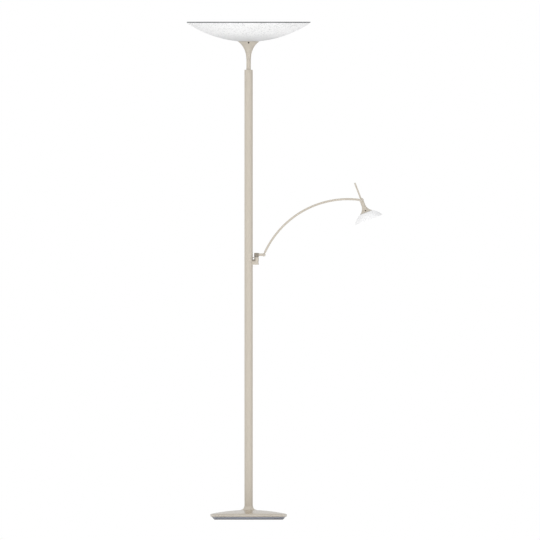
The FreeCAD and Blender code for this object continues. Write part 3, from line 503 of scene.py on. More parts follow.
CHAMPAGNE: dict[str, object] = {
    "light": (0.555, 0.506, 0.433), "dark": (0.521, 0.474, 0.403), "smooth": 0.48, "rough": 0.54,
    "metallic": 0.20, "grain": 1500.0, "relief_depth": 0.0004, "coat": 0.03,
}
LACQUER = Finish("champagne_lacquer", **CHAMPAGNE)
BASE_LACQUER = Finish(
    "base_lacquer", (0.70, 0.645, 0.560), (0.66, 0.606, 0.525), 0.18, 0.24, metallic=0.9,
    grain=1500.0, drift=9.0, relief_depth=0.0003,
)
# The bracket's lacquer, with painted shade in the gap beside the column.
BRACKET_LACQUER = BracketLacquer(
    "bracket_lacquer", **CHAMPAGNE, painted_shade_tint=(0.23, 0.205, 0.168), near=0.0225, far=0.0265,
    floor=0.932, ledge=0.936,
)
NICKEL = Finish(
    "satin_nickel", (0.50, 0.452, 0.386), (0.40, 0.360, 0.306), 0.24, 0.34, metallic=1.0,
    grain=1200.0, relief_depth=0.012, relief=Relief.TURNED,
)
CAST_IRON = Finish(
    "painted_cast_iron", (0.395, 0.410, 0.465), (0.265, 0.282, 0.340), 0.34, 0.50,
    grain=420.0, relief_depth=0.12,
)
FELT = Finish(
    "dark_felt", (0.060, 0.060, 0.066), (0.022, 0.022, 0.026), 0.85, 0.98,
    grain=1400.0, relief_depth=0.35, sheen=0.5,
)
BLACK_PLASTIC = Finish(
    "black_plastic", (0.045, 0.045, 0.047), (0.026, 0.026, 0.028), 0.38, 0.55, grain=1600.0,
    relief_depth=0.02,
)
ZINC = Finish(
    "zinc_plate", (0.62, 0.63, 0.66), (0.47, 0.48, 0.51), 0.28, 0.42, metallic=1.0, grain=700.0,
    drift=90.0, relief_depth=0.012,
)
BRASS = Finish(
    "turned_brass", (0.74, 0.56, 0.26), (0.60, 0.43, 0.18), 0.22, 0.38, metallic=1.0, grain=500.0,
    drift=80.0, relief_depth=0.015, relief=Relief.TURNED,
)
ALUMINIUM = Finish(
    "cast_aluminium", (0.66, 0.66, 0.67), (0.50, 0.50, 0.51), 0.38, 0.55, metallic=1.0, grain=800.0,
    drift=70.0, relief_depth=0.05,
)
BLACK_OXIDE = Finish(
    "black_oxide", (0.050, 0.050, 0.052), (0.024, 0.024, 0.026), 0.30, 0.45, metallic=0.7,
    grain=2500.0,
)
BRONZED = Finish(
    "bronzed_steel", (0.27, 0.215, 0.150), (0.17, 0.135, 0.095), 0.32, 0.48, metallic=0.6,
    grain=2500.0, relief_depth=0.006,
)
SILICONE = Finish(
    "white_silicone", (0.80, 0.80, 0.78), (0.70, 0.70, 0.68), 0.50, 0.65, relief_depth=0.02,
)
CERAMIC = Finish(
    "glazed_ceramic", (0.86, 0.85, 0.81), (0.77, 0.75, 0.70), 0.22, 0.40, grain=1100.0, drift=120.0,
    relief_depth=0.03,
)
TUNGSTEN = Finish(
    "tungsten", (0.30, 0.29, 0.28), (0.18, 0.18, 0.18), 0.35, 0.50, metallic=1.0, grain=4000.0,
    relief_depth=0.004,
)
RIM_GLASS = Finish(
    "ground_glass_edge", (0.145, 0.155, 0.160), (0.085, 0.092, 0.096), 0.25, 0.45,
    relief_depth=0.02,
)
CLEAR = ClearGlass(
    "clear_quartz", (0.97, 0.98, 0.99), (0.93, 0.95, 0.96), 0.02, 0.06, grain=60.0,
    relief_depth=0.02,
)
# Painted shade greys the bowl's glass towards its foot, below high.
BOWL_GLASS = FrostedGlass(
    "frosted_bowl_glass", (1.0, 1.0, 1.0), (0.62, 0.625, 0.63), 0.45, 0.65, relief_depth=0.05,
    shade=(0.66, 0.665, 0.67), cells=230.0, low=1.724, high=1.764, transmission=0.15,
)
# Painted shade greys the reading shade's glass below high.
SHADE_GLASS = FrostedGlass(
    "frosted_shade_glass", (0.815, 0.815, 0.82), (0.775, 0.777, 0.782), 0.60, 0.70,
    relief_depth=0.001, shade=(0.80, 0.80, 0.805), cells=420.0, low=1.06, high=1.12,
    transmission=0.0,
)

CAD_FINISHES: dict[Finish, tuple[str, ...]] = {
    BRACKET_LACQUER: ("arm_bracket",),
    LACQUER: ("top_bush", "stub_rod", "arm_root_tongue", "arm_tip_tongue", "head_knuckle"),
    NICKEL: ("swivel_head",),
    CAST_IRON: ("base_weight",),
    FELT: ("base_pad",),
    BLACK_PLASTIC: ("cord_gland", "column_plug", "stem_guide", "swivel_washer"),
    ZINC: (
        "base_washer", "base_nut", "clamp_disc", "carrier_nut", "lamp_carrier", "blind_nut",
        "bracket_bolt", "swivel_spindle", "tilt_pin", "head_pin", "shade_ring_nut",
    ),
    BRASS: ("base_tie", "bowl_tie", "stem_spigot", "carrier_spacer"),
    ALUMINIUM: ("bowl_seat", "shade_seat"),
    BLACK_OXIDE: ("upper_grub_screw", "swivel_stop_screw"),
    BRONZED: ("reading_grub_screw",),
    SILICONE: ("lower_gasket", "upper_gasket"),
    CERAMIC: ("lamp_holder_left", "lamp_holder_right", "lamp_socket"),
    CLEAR: ("guard_glass",),
}


# --- modelling by hand
def begin() -> None:
    """Leaves nothing selected and no mesh open, before a new piece."""
    if bpy.context.object is not None and bpy.context.object.mode != "OBJECT":
        bpy.ops.object.mode_set(mode="OBJECT")
    bpy.ops.object.select_all(action="DESELECT")


def take_up(piece: Piece) -> None:
    """Selects one piece alone and makes it active.

    Args:
        piece: The piece.
    """
    begin()
    piece.select_set(True)
    bpy.context.view_layer.objects.active = piece


def open_mesh() -> None:
    """Opens the active piece's mesh with all of it selected."""
    bpy.ops.object.mode_set(mode="EDIT")
    bpy.ops.mesh.select_all(action="SELECT")


def weld() -> None:
    """Merges the open mesh's doubles, turns its faces outwards and closes it."""
    bpy.ops.mesh.select_all(action="SELECT")
    bpy.ops.mesh.remove_doubles(threshold=WELD)
    bpy.ops.mesh.normals_make_consistent(inside=False)
    bpy.ops.object.mode_set(mode="OBJECT")


def settle(piece: Piece) -> None:
    """Applies a piece's place, turn and size to its mesh."""
    take_up(piece)
    bpy.ops.object.transform_apply(location=True, rotation=True, scale=True)


def bend(start: Point, end: Point, radius: float, side: Side, steps: int) -> Outline:
    """Points along the short arc between two points of an outline.

    Args:
        start: Where the arc starts. It isn't repeated.
        end: Where it ends.
        radius: Its radius.
        side: Where its centre lies, seen along the way.
        steps: Its number of points.

    Returns:
        The points, up to its end.
    """
    run = end[0] - start[0]
    climb = end[1] - start[1]
    chord = math.hypot(run, climb)
    depth = math.sqrt(radius**2 - (chord / 2) ** 2) * side.value
    centre_r = (start[0] + end[0]) / 2 - climb / chord * depth
    centre_z = (start[1] + end[1]) / 2 + run / chord * depth
    first = math.atan2(start[1] - centre_z, start[0] - centre_r)
    sweep = 2 * math.asin(chord / 2 / radius) * side.value
    angles = [first + sweep * step / steps for step in range(1, steps + 1)]
    return [(centre_r + radius * math.cos(a), centre_z + radius * math.sin(a)) for a in angles]


def height_on(radius: float, across: float) -> float:
    """The height of a circle above its centre, at a distance across from it."""
    return math.sqrt(radius**2 - across**2)


def turned(name: str, outline: Outline, segments: int, ease: float) -> Piece:
    """Turns an outline about the Z axis, ring by ring, as on a lathe.

    Args:
        name: The piece's name.
        outline: Its section as (radius, height) points in millimetres. It closes on itself,
            unless both its ends lie on the axis.
        segments: The number of faces round the axis.
        ease: The width of its eased edges in millimetres, or 0.

    Returns:
        The piece.
    """
    begin()
    on_axis = outline[0][0] < ON_AXIS and outline[-1][0] < ON_AXIS
    way = outline if on_axis else outline + outline[:1]
    bpy.ops.mesh.primitive_circle_add(
        vertices=segments,
        radius=max(way[0][0], ON_AXIS) * MM,
        fill_type="NOTHING",
        location=(0, 0, way[0][1] * MM),
    )
    piece = bpy.context.object
    piece.name = name
    settle(piece)
    open_mesh()
    for before, after in zip(way, way[1:]):
        grow = max(after[0], ON_AXIS) / max(before[0], ON_AXIS)
        lift = (after[1] - before[1]) * MM
        bpy.ops.mesh.extrude_region_move(TRANSFORM_OT_translate={"value": (0, 0, lift)})
        bpy.ops.transform.resize(value=(grow, grow, 1), center_override=(0, 0, after[1] * MM))
    weld()
    if ease:
        ease_edges(piece, ease)
    smooth(piece)
    return piece


def apply_modifier(piece: Piece, kind: str, **settings: object) -> None:
    """Adds a modifier to a piece and applies it.

    Args:
        piece: The piece.
        kind: The modifier's type.
        settings: Its settings by name.
    """
    take_up(piece)
    bpy.ops.object.modifier_add(type=kind)
    modifier = piece.modifiers[-1]
    for label, value in settings.items():
        setattr(modifier, label, value)
    bpy.ops.object.modifier_apply(modifier=modifier.name)


def ease_edges(piece: Piece, width: float) -> None:
    """Rounds a piece's sharp edges to a width in millimetres."""
    apply_modifier(
        piece, "BEVEL", width=width * MM, segments=3, limit_method="ANGLE", angle_limit=EASED
    )


def smooth(piece: Piece) -> None:
    """Shades a piece smooth, but for its sharp edges."""
    take_up(piece)
    bpy.ops.object.shade_smooth_by_angle(angle=CREASED)


def drill_front(piece: Piece, height: float, radius: float, near: float, far: float) -> None:
    """Drills a screw's hole into the front of a turned piece.

    Args:
        piece: The piece, upright on the Z axis.
        height: The hole's height in millimetres.
        radius: Its radius.
        near: Where it ends inside, from the axis.
        far: Where it starts outside.
    """
    begin()
    bpy.ops.mesh.primitive_cylinder_add(
        vertices=40,
        radius=radius * MM,
        depth=(far - near) * MM,
        location=(0, -(far + near) / 2 * MM, height * MM),
        rotation=(math.pi / 2, 0, 0),
    )
    drill = bpy.context.object
    settle(drill)
    apply_modifier(piece, "BOOLEAN", operation="DIFFERENCE", object=drill, solver="EXACT")
    take_up(drill)
    bpy.ops.object.delete()
    smooth(piece)


def coil(name: str, turns: int, pitch: float, radius: float, wire: float) -> Piece:
    """A coil of fine wire along the Z axis, from the origin up.

    Args:
        name: The piece's name.
        turns: Its number of turns.
        pitch: The height of a turn in millimetres.
        radius: The coil's radius.
        wire: The wire's radius.

    Returns:
        The coil.
    """
    begin()
    bpy.ops.mesh.primitive_circle_add(
        vertices=6,
        radius=wire * MM,
        fill_type="NOTHING",
        location=(radius * MM, 0, 0),
        rotation=(math.pi / 2, 0, 0),
    )
    piece = bpy.context.object
    piece.name = name
    settle(piece)
    apply_modifier(
        piece, "SCREW", axis="Z", angle=2 * math.pi, screw_offset=pitch * MM, iterations=turns,
        steps=14, render_steps=14, use_merge_vertices=True, merge_threshold=WELD / 4,
    )
    open_mesh()
    bpy.ops.mesh.fill_holes(sides=8)
    bpy.ops.mesh.normals_make_consistent(inside=False)
    bpy.ops.object.mode_set(mode="OBJECT")
    smooth(piece)
    return piece


def hand_over(piece: Piece, finish: Finish, body: Body, slot: str, *stands_for: str) -> None:
    """Dresses a finished piece and lets it ride.

    Args:
        piece: The piece, in its place.
        finish: Its finish.
        body: What it rides on.
        slot: The record's material slot. It is not used.
        stands_for: The CAD nodes that it replaces.
    """
    if not piece.data.materials:
        piece.data.materials.append(finish.material())
    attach(piece, body.value)
    if stands_for:
        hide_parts(*stands_for)
    corners = list(piece.bound_box)
    own = [pick(corner[axis] for corner in corners) for pick in (min, max) for axis in range(3)]
    for node in stands_for[:1]:
        cad = [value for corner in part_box(node) for value in corner]
        worst = max(abs(one - other) for one, other in zip(own, cad))
        log.info("%s stands for %s, corners within %.2f mm", piece.name, node, worst / MM)
    log.info("%s: %d faces, rides on %s", piece.name, len(piece.data.polygons), body.value)


# --- the lamp's sub-assemblies
@dataclass
class Base:
    """The round base: a spun cover over a cast weight. Millimetres."""

    shoulder: float = 9.0
    radius: float = 139.0
    edge: float = 6.2
    wall: float = 1.5
    apex: float = 35.2
    seat: float = 29.0
    flange: float = 4.0
    hole: float = 5.3

    def cover_outline(self) -> Outline:
        """The section of the spun cover: a shallow dome that runs into a rolled edge.

        Returns:
            Its points.
        """
        edge_r = self.radius - self.edge
        edge_z = self.shoulder + self.edge
        over = self.apex - edge_z
        dome = (edge_r**2 + over**2 - self.edge**2) / (2 * (over - self.edge))
        centre = self.apex - dome
        share = dome / (dome - self.edge)
        dome_end = (edge_r * share, centre + (edge_z - centre) * share)
        top = centre + height_on(dome, self.seat)
        inner = self.edge - self.wall
        inner_dome = dome - self.wall
        inner_share = inner_dome / (inner_dome - inner)
        inner_end = (edge_r * inner_share, centre + (edge_z - centre) * inner_share)
        inner_seat = math.sqrt(inner_dome**2 - (top - self.wall - centre) ** 2)
        outline = [(self.hole, top), (self.seat, top)]
        outline += bend(outline[-1], dome_end, dome, Side.RIGHT, steps=40)
        outline += bend(outline[-1], (self.radius, edge_z), self.edge, Side.RIGHT, steps=10)
        outline += bend(outline[-1], (edge_r, self.shoulder), self.edge, Side.RIGHT, steps=10)
        outline += [(edge_r - self.flange, self.shoulder), (edge_r - self.flange, edge_z - inner)]
        outline += [(edge_r, edge_z - inner)]
        outline += bend(outline[-1], (edge_r + inner, edge_z), inner, Side.LEFT, steps=8)
        outline += bend(outline[-1], inner_end, inner, Side.LEFT, steps=8)
        outline += bend(outline[-1], (inner_seat, top - self.wall), inner_dome, Side.LEFT, steps=30)
        return outline + [(self.hole, top - self.wall)]

    def build(self) -> None:
        """Builds the cover over the CAD weight, pad and nuts."""
        cover = turned("spun_base_cover", self.cover_outline(), segments=192, ease=0.2)
        hand_over(cover, BASE_LACQUER, Body.STAND, "champagne_finish", "base_cover")


@dataclass
class Column:
    """The column, its foot collar and the stem above it. Millimetres."""

    radius: float = 15.0
    wall: float = 1.5
    collar_radius: float = 28.0
    collar_lip: float = 1.2
    gap: float = 0.05
    stem_radius: float = 8.0
    stem_wall: float = 1.5

    def tube_outline(self, node: str, radius: float, wall: float) -> Outline:
        """The section of a straight tube that stands where a CAD tube does.

        Args:
            node: The CAD tube's node.
            radius: The tube's outer radius.
            wall: Its wall.

        Returns:
            Its points.
        """
        low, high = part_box(node)
        foot = low.z / MM
        top = high.z / MM
        return [(radius - wall, foot), (radius, foot), (radius, top), (radius - wall, top)]

    def collar_outline(self) -> Outline:
        """The section of the small trumpet at the column's foot.

        Returns:
            Its points.
        """
        low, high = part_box("foot_collar")
        foot = low.z / MM
        top = high.z / MM
        bore = self.radius + self.gap
        neck = bore + self.collar_lip
        lip = (self.collar_radius, foot + self.collar_lip)
        curve = math.hypot(self.collar_radius - neck, top - lip[1]) / math.sqrt(2)
        outline = [(bore, foot), (self.collar_radius, foot), lip]
        outline += bend(lip, (neck, top), curve, Side.RIGHT, steps=16)
        return outline + [(bore, top)]

    def build(self) -> None:
        """Builds the tubes and the collar."""
        outline = self.tube_outline("column_tube", self.radius, self.wall)
        column = turned("column", outline, segments=128, ease=0.3)
        hand_over(column, LACQUER, Body.STAND, "champagne_finish", "column_tube")
        collar = turned("column_foot_collar", self.collar_outline(), segments=128, ease=0.2)
        hand_over(collar, LACQUER, Body.STAND, "champagne_finish", "foot_collar")
        outline = self.tube_outline("upper_stem", self.stem_radius, self.stem_wall)
        stem = turned("stem", outline, segments=96, ease=0.2)
        hand_over(stem, LACQUER, Body.STAND, "champagne_finish", "upper_stem")


@dataclass
class UpperBowl:
    """The glass bowl and the trumpet that carries it. Millimetres.

    The ground rim is what lies rim_reach from the bowl's edge and rim_drop from its top, and what
    faces up by more than rim_level within rim_top of the top.
    """

    neck: float = 8.5
    waist: float = 16.1
    waist_height: float = 35.4
    lip: float = 39.6
    lower_curve: float = 84.0
    upper_curve: float = 66.0
    wall: float = 1.3
    screw_radius: float = 3.05
    screw_drop: float = 5.0
    drill_near: float = 10.0
    drill_past: float = 4.0
    sphere: float = 398.8
    rim: float = 223.5
    glass: float = 4.5
    land: float = 2.5
    hole: float = 5.3
    rim_reach: float = 0.7
    rim_drop: float = 3.9
    rim_top: float = 0.6
    rim_level: float = 0.9

    def trumpet_outline(self, foot: float, lip_height: float) -> Outline:
        """The section of the trumpet between two heights.

        Args:
            foot: The height of its foot.
            lip_height: The height of its lip.

        Returns:
            Its points.
        """
        waist_height = foot + self.waist_height
        waist = (self.waist, waist_height)
        outline = [(self.neck, foot)]
        outline += bend(outline[-1], waist, self.lower_curve, Side.RIGHT, steps=20)
        outline += bend(outline[-1], (self.lip, lip_height), self.upper_curve, Side.RIGHT, steps=24)
        outline += [(self.lip - self.wall, lip_height)]
        waist = (self.waist - self.wall, waist_height)
        outline += bend(outline[-1], waist, self.upper_curve + self.wall, Side.LEFT, steps=24)
        end = (self.neck - self.wall, foot)
        return outline + bend(waist, end, self.lower_curve + self.wall, Side.LEFT, steps=20)

    def bowl_outline(self) -> Outline:
        """The section of the glass bowl.

        Returns:
            Its points.
        """
        low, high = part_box("glass_bowl")
        centre = low.z / MM + height_on(self.sphere, self.hole)
        inner = self.sphere - self.glass
        top = high.z / MM
        outline = [(self.hole, low.z / MM)]
        rim = (self.rim, centre - height_on(self.sphere, self.rim))
        outline += bend(outline[-1], rim, self.sphere, Side.LEFT, steps=56)
        outline += [(self.rim, top), (self.rim - self.land, top)]
        hole = (self.hole, centre - height_on(inner, self.hole))
        return outline + bend(outline[-1], hole, inner, Side.RIGHT, steps=56)

    def mark_rim(self, bowl: Piece) -> None:
        """Gives the bowl's upright rim its ground and polished finish.

        Args:
            bowl: The bowl, in its place.
        """
        bowl.data.materials.append(BOWL_GLASS.material())
        bowl.data.materials.append(RIM_GLASS.material())
        top = max(vertex.co.z for vertex in bowl.data.vertices)
        for face in bowl.data.polygons:
            reach = math.hypot(face.center.x, face.center.y)
            drop = top - face.center.z
            upright = reach > (self.rim - self.rim_reach) * MM and drop < self.rim_drop * MM
            level = face.normal.z > self.rim_level and drop < self.rim_top * MM
            face.material_index = 1 if upright or level else 0

    def build(self) -> None:
        """Builds the trumpet, with its screw's hole, and the bowl."""
        low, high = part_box("upper_trumpet")
        outline = self.trumpet_outline(low.z / MM, high.z / MM)
        trumpet = turned("bowl_trumpet", outline, segments=144, ease=0.2)
        screw_height = high.z / MM - self.screw_drop
        far = self.lip + self.drill_past
        drill_front(trumpet, screw_height, self.screw_radius, self.drill_near, far)
        hand_over(trumpet, LACQUER, Body.STAND, "champagne_finish", "upper_trumpet")
        bowl = turned("frosted_bowl", self.bowl_outline(), segments=224, ease=0.45)
        self.mark_rim(bowl)
        hand_over(bowl, BOWL_GLASS, Body.STAND, "frosted_bowl_glass", "glass_bowl")


@dataclass
class UpperLamp:
    """The double-ended halogen lamp in the bowl. Millimetres."""

    radius: float = 5.0
    wall: float = 1.0
    cap_radius: float = 3.6
    cap_length: float = 11.0
    pinch: float = 6.0
    pinch_step: float = 0.3
    contact: float = 1.2
    contact_step: float = 1.4
    filament: float = 1.1
    filament_room: float = 8.0
    turns: int = 62
    wire: float = 0.16

    def lay_along_x(self, piece: Piece, centre: Vector) -> None:
        """Turns an upright piece along X and puts its middle at a point.

        Args:
            piece: The piece.
            centre: The point.
        """
        piece.rotation_euler = (0, math.pi / 2, 0)
        piece.location = centre
        settle(piece)

    def build(self) -> None:
        """Builds the quartz tube, its ceramic ends and the coiled filament."""
        low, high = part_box("halogen_lamp")
        centre = (low + high) / 2
        half = (high.x - low.x) / 2 / MM
        glass = half - self.cap_length
        body = glass - self.pinch
        neck = self.cap_radius - self.pinch_step
        outline = [(0, -glass), (neck, -glass), (self.radius, -body), (self.radius, body)]
        tube = turned("quartz_tube", outline + [(neck, glass), (0, glass)], segments=48, ease=0.4)
        self.lay_along_x(tube, centre)
        hand_over(tube, CLEAR, Body.STAND, "clear_glass", "halogen_lamp")
        for end in (-1, 1):
            face = (half - self.contact) * end
            contact = self.cap_radius - self.contact_step
            outline = [(0, glass * end), (self.cap_radius, glass * end), (self.cap_radius, face)]
            outline += [(contact, face), (contact, half * end), (0, half * end)]
            name = "lamp_end_left" if end < 0 else "lamp_end_right"
            cap = turned(name, outline, segments=40, ease=0.25)
            self.lay_along_x(cap, centre)
            hand_over(cap, CERAMIC, Body.STAND, "ceramic")
        length = 2 * body - self.filament_room
        pitch = length / self.turns
        filament = coil("lamp_filament", self.turns, pitch, self.filament, self.wire)
        filament.location.z = -length / 2 * MM
        settle(filament)
        self.lay_along_x(filament, centre)
        hand_over(filament, TUNGSTEN, Body.STAND, "zinc_steel")


@dataclass
class Arm:
    """The curved tube of the reading arm. Millimetres and degrees."""

    pivot: tuple[float, float] = (55.2, 957.6)
    curve: float = 330.6
    root_angle: float = 156.9
    tip_angle: float = 81.6
    radius: float = 3.75
    wall: float = 1.0
    start: float = 8.9
    sides: int = 40
    steps: int = 90
    ease: float = 0.2

    def build(self) -> None:
        """Spins the tube's ring along the curve and gives it its wall."""
        root = math.radians(self.root_angle)
        centre_x = self.pivot[0] - self.curve * math.cos(root)
        centre_z = self.pivot[1] - self.curve * math.sin(root)
        first = root - self.start / self.curve
        last = math.radians(self.tip_angle) + self.start / self.curve
        begin()
        bpy.ops.mesh.primitive_circle_add(
            vertices=self.sides,
            radius=self.radius * MM,
            fill_type="NOTHING",
            location=(
                (centre_x + self.curve * math.cos(first)) * MM,
                0,
                (centre_z + self.curve * math.sin(first)) * MM,
            ),
            rotation=(0, -first, 0),
        )
        tube = bpy.context.object
        tube.name = "curved_arm"
        settle(tube)
        open_mesh()
        middle = (centre_x * MM, 0, centre_z * MM)
        bpy.ops.mesh.spin(steps=self.steps, angle=last - first, center=middle, axis=(0, 1, 0))
        weld()
        apply_modifier(tube, "SOLIDIFY", thickness=self.wall * MM, offset=-1, use_even_offset=True)
        ease_edges(tube, self.ease)
        smooth(tube)
        hand_over(tube, LACQUER, Body.ARM, "champagne_finish", "arm_tube")


@dataclass
class ReadingHead:
    """The reading light. Millimetres and degrees.

    Its pieces are made upright, with the middle of the shade's rim at the origin, and then hung.
    """

    lean: float = 21.0
    pivot_height: float = 75.9
    sphere: float = 58.3
    rim: float = 52.4
    glass: float = 3.0
    hole: float = 8.7
    horn_lip: float = 23.4
    horn_neck: float = 7.2
    horn_height: float = 28.2
    horn_curve: float = 33.0
    wall: float = 1.3
    gap: float = 0.3
    shoulder: float = 7.4
    screw_radius: float = 2.5
    screw_rise: float = 6.2
    drill_near: float = 6.0
    drill_past: float = 3.0
    ball: float = 8.1
    rod: float = 3.0
    rod_pin: float = 1.4
    rod_pin_length: float = 1.7
    rod_length: float = 59.0
    rod_round: float = 1.2
    capsule: float = 4.7
    capsule_foot: float = 3.4
    capsule_foot_length: float = 6.0
    capsule_length: float = 16.0
    capsule_low: float = 4.23
    pinch: float = 2.0
    turns: int = 9
    pitch: float = 0.6
    filament: float = 0.9
    filament_rise: float = 6.0
    wire: float = 0.14

    def hang(self, piece: Piece) -> Piece:
        """Leans a piece that was made upright and puts it on the lamp.

        Args:
            piece: The piece.

        Returns:
            The piece.
        """
        joints = frame["record"]["behaviour"]["joints"]
        pivot = Vector([joint for joint in joints if joint["name"] == "head_tilt"][0]["pos_m"])
        lean = math.radians(self.lean)
        down = Vector((math.sin(lean), 0, -math.cos(lean)))
        piece.rotation_euler = (0, -lean, 0)
        piece.location = pivot + down * self.pivot_height * MM
        settle(piece)
        return piece

    def shade_outline(self) -> Outline:
        """The section of the glass shade.

        Returns:
            Its points.
        """
        centre = -height_on(self.sphere, self.rim)
        inner = self.sphere - self.glass
        inner_rim = math.sqrt(inner**2 - centre**2)
        top = (self.hole, centre + height_on(self.sphere, self.hole))
        low_top = (self.hole, centre + height_on(inner, self.hole))
        outline = [(self.rim, 0.0)]
        outline += bend(outline[-1], top, self.sphere, Side.LEFT, steps=48)
        outline += [low_top]
        return outline + bend(low_top, (inner_rim, 0.0), inner, Side.RIGHT, steps=48)

    def horn_foot(self) -> float:
        """The height of the trumpet's lip above the shade's rim."""
        centre = -height_on(self.sphere, self.rim)
        return centre + height_on(self.sphere, self.horn_lip - self.wall) + self.gap

    def horn_outline(self) -> Outline:
        """The section of the trumpet over the shade.

        Returns:
            Its points.
        """
        foot = self.horn_foot()
        shoulder = foot + self.horn_height
        top = self.pivot_height - self.shoulder
        neck = (self.horn_neck, shoulder)
        outline = [(self.horn_lip, foot)]
        outline += bend(outline[-1], neck, self.horn_curve, Side.RIGHT, steps=28)
        outline += [(self.horn_neck, top), (self.horn_neck - self.wall, top)]
        outline += [(self.horn_neck - self.wall, shoulder)]
        lip = (self.horn_lip - self.wall, foot)
        return outline + bend(outline[-1], lip, self.horn_curve + self.wall, Side.LEFT, steps=28)

    def rod_outline(self) -> Outline:
        """The section of the handle rod with its rounded end.

        Returns:
            Its points.
        """
        foot = self.pivot_height + height_on(self.ball, self.rod)
        top = foot + self.rod_length
        outline = [(0.0, foot - self.rod_pin_length), (self.rod_pin, foot - self.rod_pin_length)]
        outline += [(self.rod_pin, foot), (self.rod, foot), (self.rod, top - self.rod_round)]
        end = (self.rod - self.rod_round, top)
        return outline + bend(outline[-1], end, self.rod_round, Side.LEFT, steps=6) + [(0.0, top)]

    def capsule_outline(self) -> Outline:
        """The section of the small lamp's clear envelope and its pinched foot.

        Returns:
            Its points.
        """
        low = self.capsule_low
        top = low + self.capsule_length
        side = (self.capsule, low + self.capsule)
        outline = [(0.0, low)]
        outline += bend(outline[-1], side, self.capsule, Side.LEFT, steps=10)
        end = top + self.capsule_foot_length
        outline += [(self.capsule, top - self.pinch), (self.capsule_foot, top)]
        return outline + [(self.capsule_foot, end), (0.0, end)]

    def build(self) -> None:
        """Builds the shade, its trumpet, the handle and the small lamp."""
        shade = self.hang(turned("frosted_shade", self.shade_outline(), segments=160, ease=0.5))
        hand_over(shade, SHADE_GLASS, Body.HEAD, "frosted_shade_glass", "reading_shade")
        horn = turned("shade_trumpet", self.horn_outline(), segments=112, ease=0.2)
        screw_height = self.horn_foot() + self.screw_rise
        far = self.horn_lip + self.drill_past
        drill_front(horn, screw_height, self.screw_radius, self.drill_near, far)
        hand_over(self.hang(horn), LACQUER, Body.HEAD, "champagne_finish", "reading_trumpet")
        rod = self.hang(turned("aiming_handle", self.rod_outline(), segments=48, ease=0.15))
        hand_over(rod, LACQUER, Body.HEAD, "champagne_finish", "handle_rod")
        capsule = turned("small_lamp_envelope", self.capsule_outline(), segments=40, ease=0.0)
        hand_over(self.hang(capsule), CLEAR, Body.HEAD, "clear_glass", "lamp_capsule")
        filament = coil("small_lamp_filament", self.turns, self.pitch, self.filament, self.wire)
        filament.location.z = (self.capsule_low + self.filament_rise) * MM
        settle(filament)
        hand_over(self.hang(filament), TUNGSTEN, Body.HEAD, "zinc_steel")


@dataclass(frozen=True)
class Light:
    """A soft square light that doesn't show in reflections. Metres and watts."""

    name: str
    spot: tuple[float, float, float]
    size: float
    power: float
    aim: tuple[float, float, float] = (0.1, 0.0, 0.9)

    def hang(self) -> None:
        """Hangs the light and points it at its aim."""
        begin()
        bpy.ops.object.light_add(type="AREA", location=self.spot)
        lamp = bpy.context.object
        lamp.name = self.name
        lamp.data.size = self.size
        lamp.data.energy = self.power
        lamp.visible_glossy = False
        way = Vector(self.aim) - Vector(self.spot)
        lamp.rotation_euler = way.to_track_quat("-Z", "Y").to_euler()


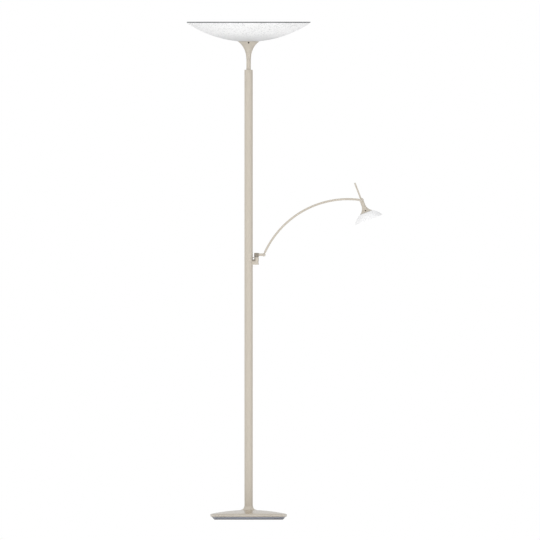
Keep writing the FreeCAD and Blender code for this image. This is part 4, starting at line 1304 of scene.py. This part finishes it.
@dataclass
class Studio:
    """The plain floor, the soft lights, the white surroundings and the camera. Metres.

    The surroundings dim from bright_above down to dim_below, as heights of a unit direction.
    """

    view_width: float = 1.9521
    middle: tuple[float, float] = (0.0773, 0.9023)
    distance: float = 10.0
    clip: float = 60.0
    floor_size: float = 30.0
    surroundings: float = 0.74
    dim_below: float = -0.6
    bright_above: float = 0.2
    dimmest: float = 0.72
    lights: tuple[Light, ...] = (
        Light("key_light", (-2.4, -3.4, 2.9), 2.6, 78.0),
        Light("fill_light", (2.8, -2.8, 0.9), 2.2, 32.0),
        Light("foot_light", (-0.5, -2.6, 0.45), 1.6, 7.0, aim=(0.0, 0.0, 0.16)),
        Light("back_light", (0.6, 3.2, 2.8), 2.2, 34.0),
    )

    def lay_floor(self) -> None:
        """Lays a wide pale floor with a faint texture."""
        begin()
        bpy.ops.mesh.primitive_plane_add(size=self.floor_size, location=(0, 0, 0))
        floor = bpy.context.object
        floor.name = "studio_floor"
        bpy.ops.object.mode_set(mode="EDIT")
        bpy.ops.mesh.subdivide(number_cuts=6)
        bpy.ops.object.mode_set(mode="OBJECT")
        paper = Finish(
            "studio_paper", (0.90, 0.90, 0.90), (0.87, 0.87, 0.87), 0.75, 0.9, grain=60.0,
            drift=1.0, relief_depth=0.02,
        )
        floor.data.materials.append(paper.material())

    def surround(self) -> None:
        """Fills the surroundings with white, dimmer below and for what the pieces see."""
        world = bpy.data.worlds.new("white_room")
        bpy.context.scene.world = world
        world.use_nodes = True
        tree = world.node_tree
        tree.nodes.clear()
        coordinates = tree.nodes.new("ShaderNodeTexCoord")
        split = tree.nodes.new("ShaderNodeSeparateXYZ")
        brightness = spread(
            tree, split.outputs["Z"], self.dim_below, self.bright_above, self.dimmest, 1.0
        )
        seen = tree.nodes.new("ShaderNodeBackground")
        seen.inputs["Color"].default_value = (1, 1, 1, 1)
        lit = tree.nodes.new("ShaderNodeBackground")
        lit.inputs["Strength"].default_value = self.surroundings
        path = tree.nodes.new("ShaderNodeLightPath")
        mix = tree.nodes.new("ShaderNodeMixShader")
        out = tree.nodes.new("ShaderNodeOutputWorld")
        wire(
            tree,
            (coordinates, "Generated", split, "Vector"),
            (path, "Is Camera Ray", mix, "Fac"),
            (lit, "Background", mix, 1),
            (seen, "Background", mix, 2),
            (mix, "Shader", out, "Surface"),
        )
        tree.links.new(brightness, lit.inputs["Color"])

    def set_camera(self) -> None:
        """Sets the camera level, square to the lamp and without perspective."""
        begin()
        bpy.ops.object.camera_add(
            location=(self.middle[0], -self.distance, self.middle[1]), rotation=(math.pi / 2, 0, 0)
        )
        camera = bpy.context.object
        camera.name = "photo_camera"
        camera.data.type = "ORTHO"
        camera.data.ortho_scale = self.view_width
        camera.data.clip_end = self.clip
        bpy.context.scene.camera = camera

    def build(self) -> None:
        """Sets up all that isn't the lamp."""
        self.lay_floor()
        self.surround()
        for light in self.lights:
            light.hang()
        self.set_camera()
        bpy.context.scene.view_settings.view_transform = "Standard"


# --- assembly
def dress_cad_nodes() -> None:
    """Gives each CAD node that stays in view its finish."""
    for finish, nodes in CAD_FINISHES.items():
        for node in nodes:
            piece = frame["nodes"][node]
            for spot in piece.material_slots:
                spot.material = finish.material()
            log.info("%s keeps its solid, dressed in %s", node, finish.name)


def main() -> None:
    """Builds the studio and the lamp."""
    logging.basicConfig(level=logging.INFO, format="%(message)s")
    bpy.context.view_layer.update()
    dress_cad_nodes()
    for part in (Studio(), Base(), Column(), UpperBowl(), UpperLamp(), Arm(), ReadingHead()):
        part.build()


if __name__ == "__main__":
    main()
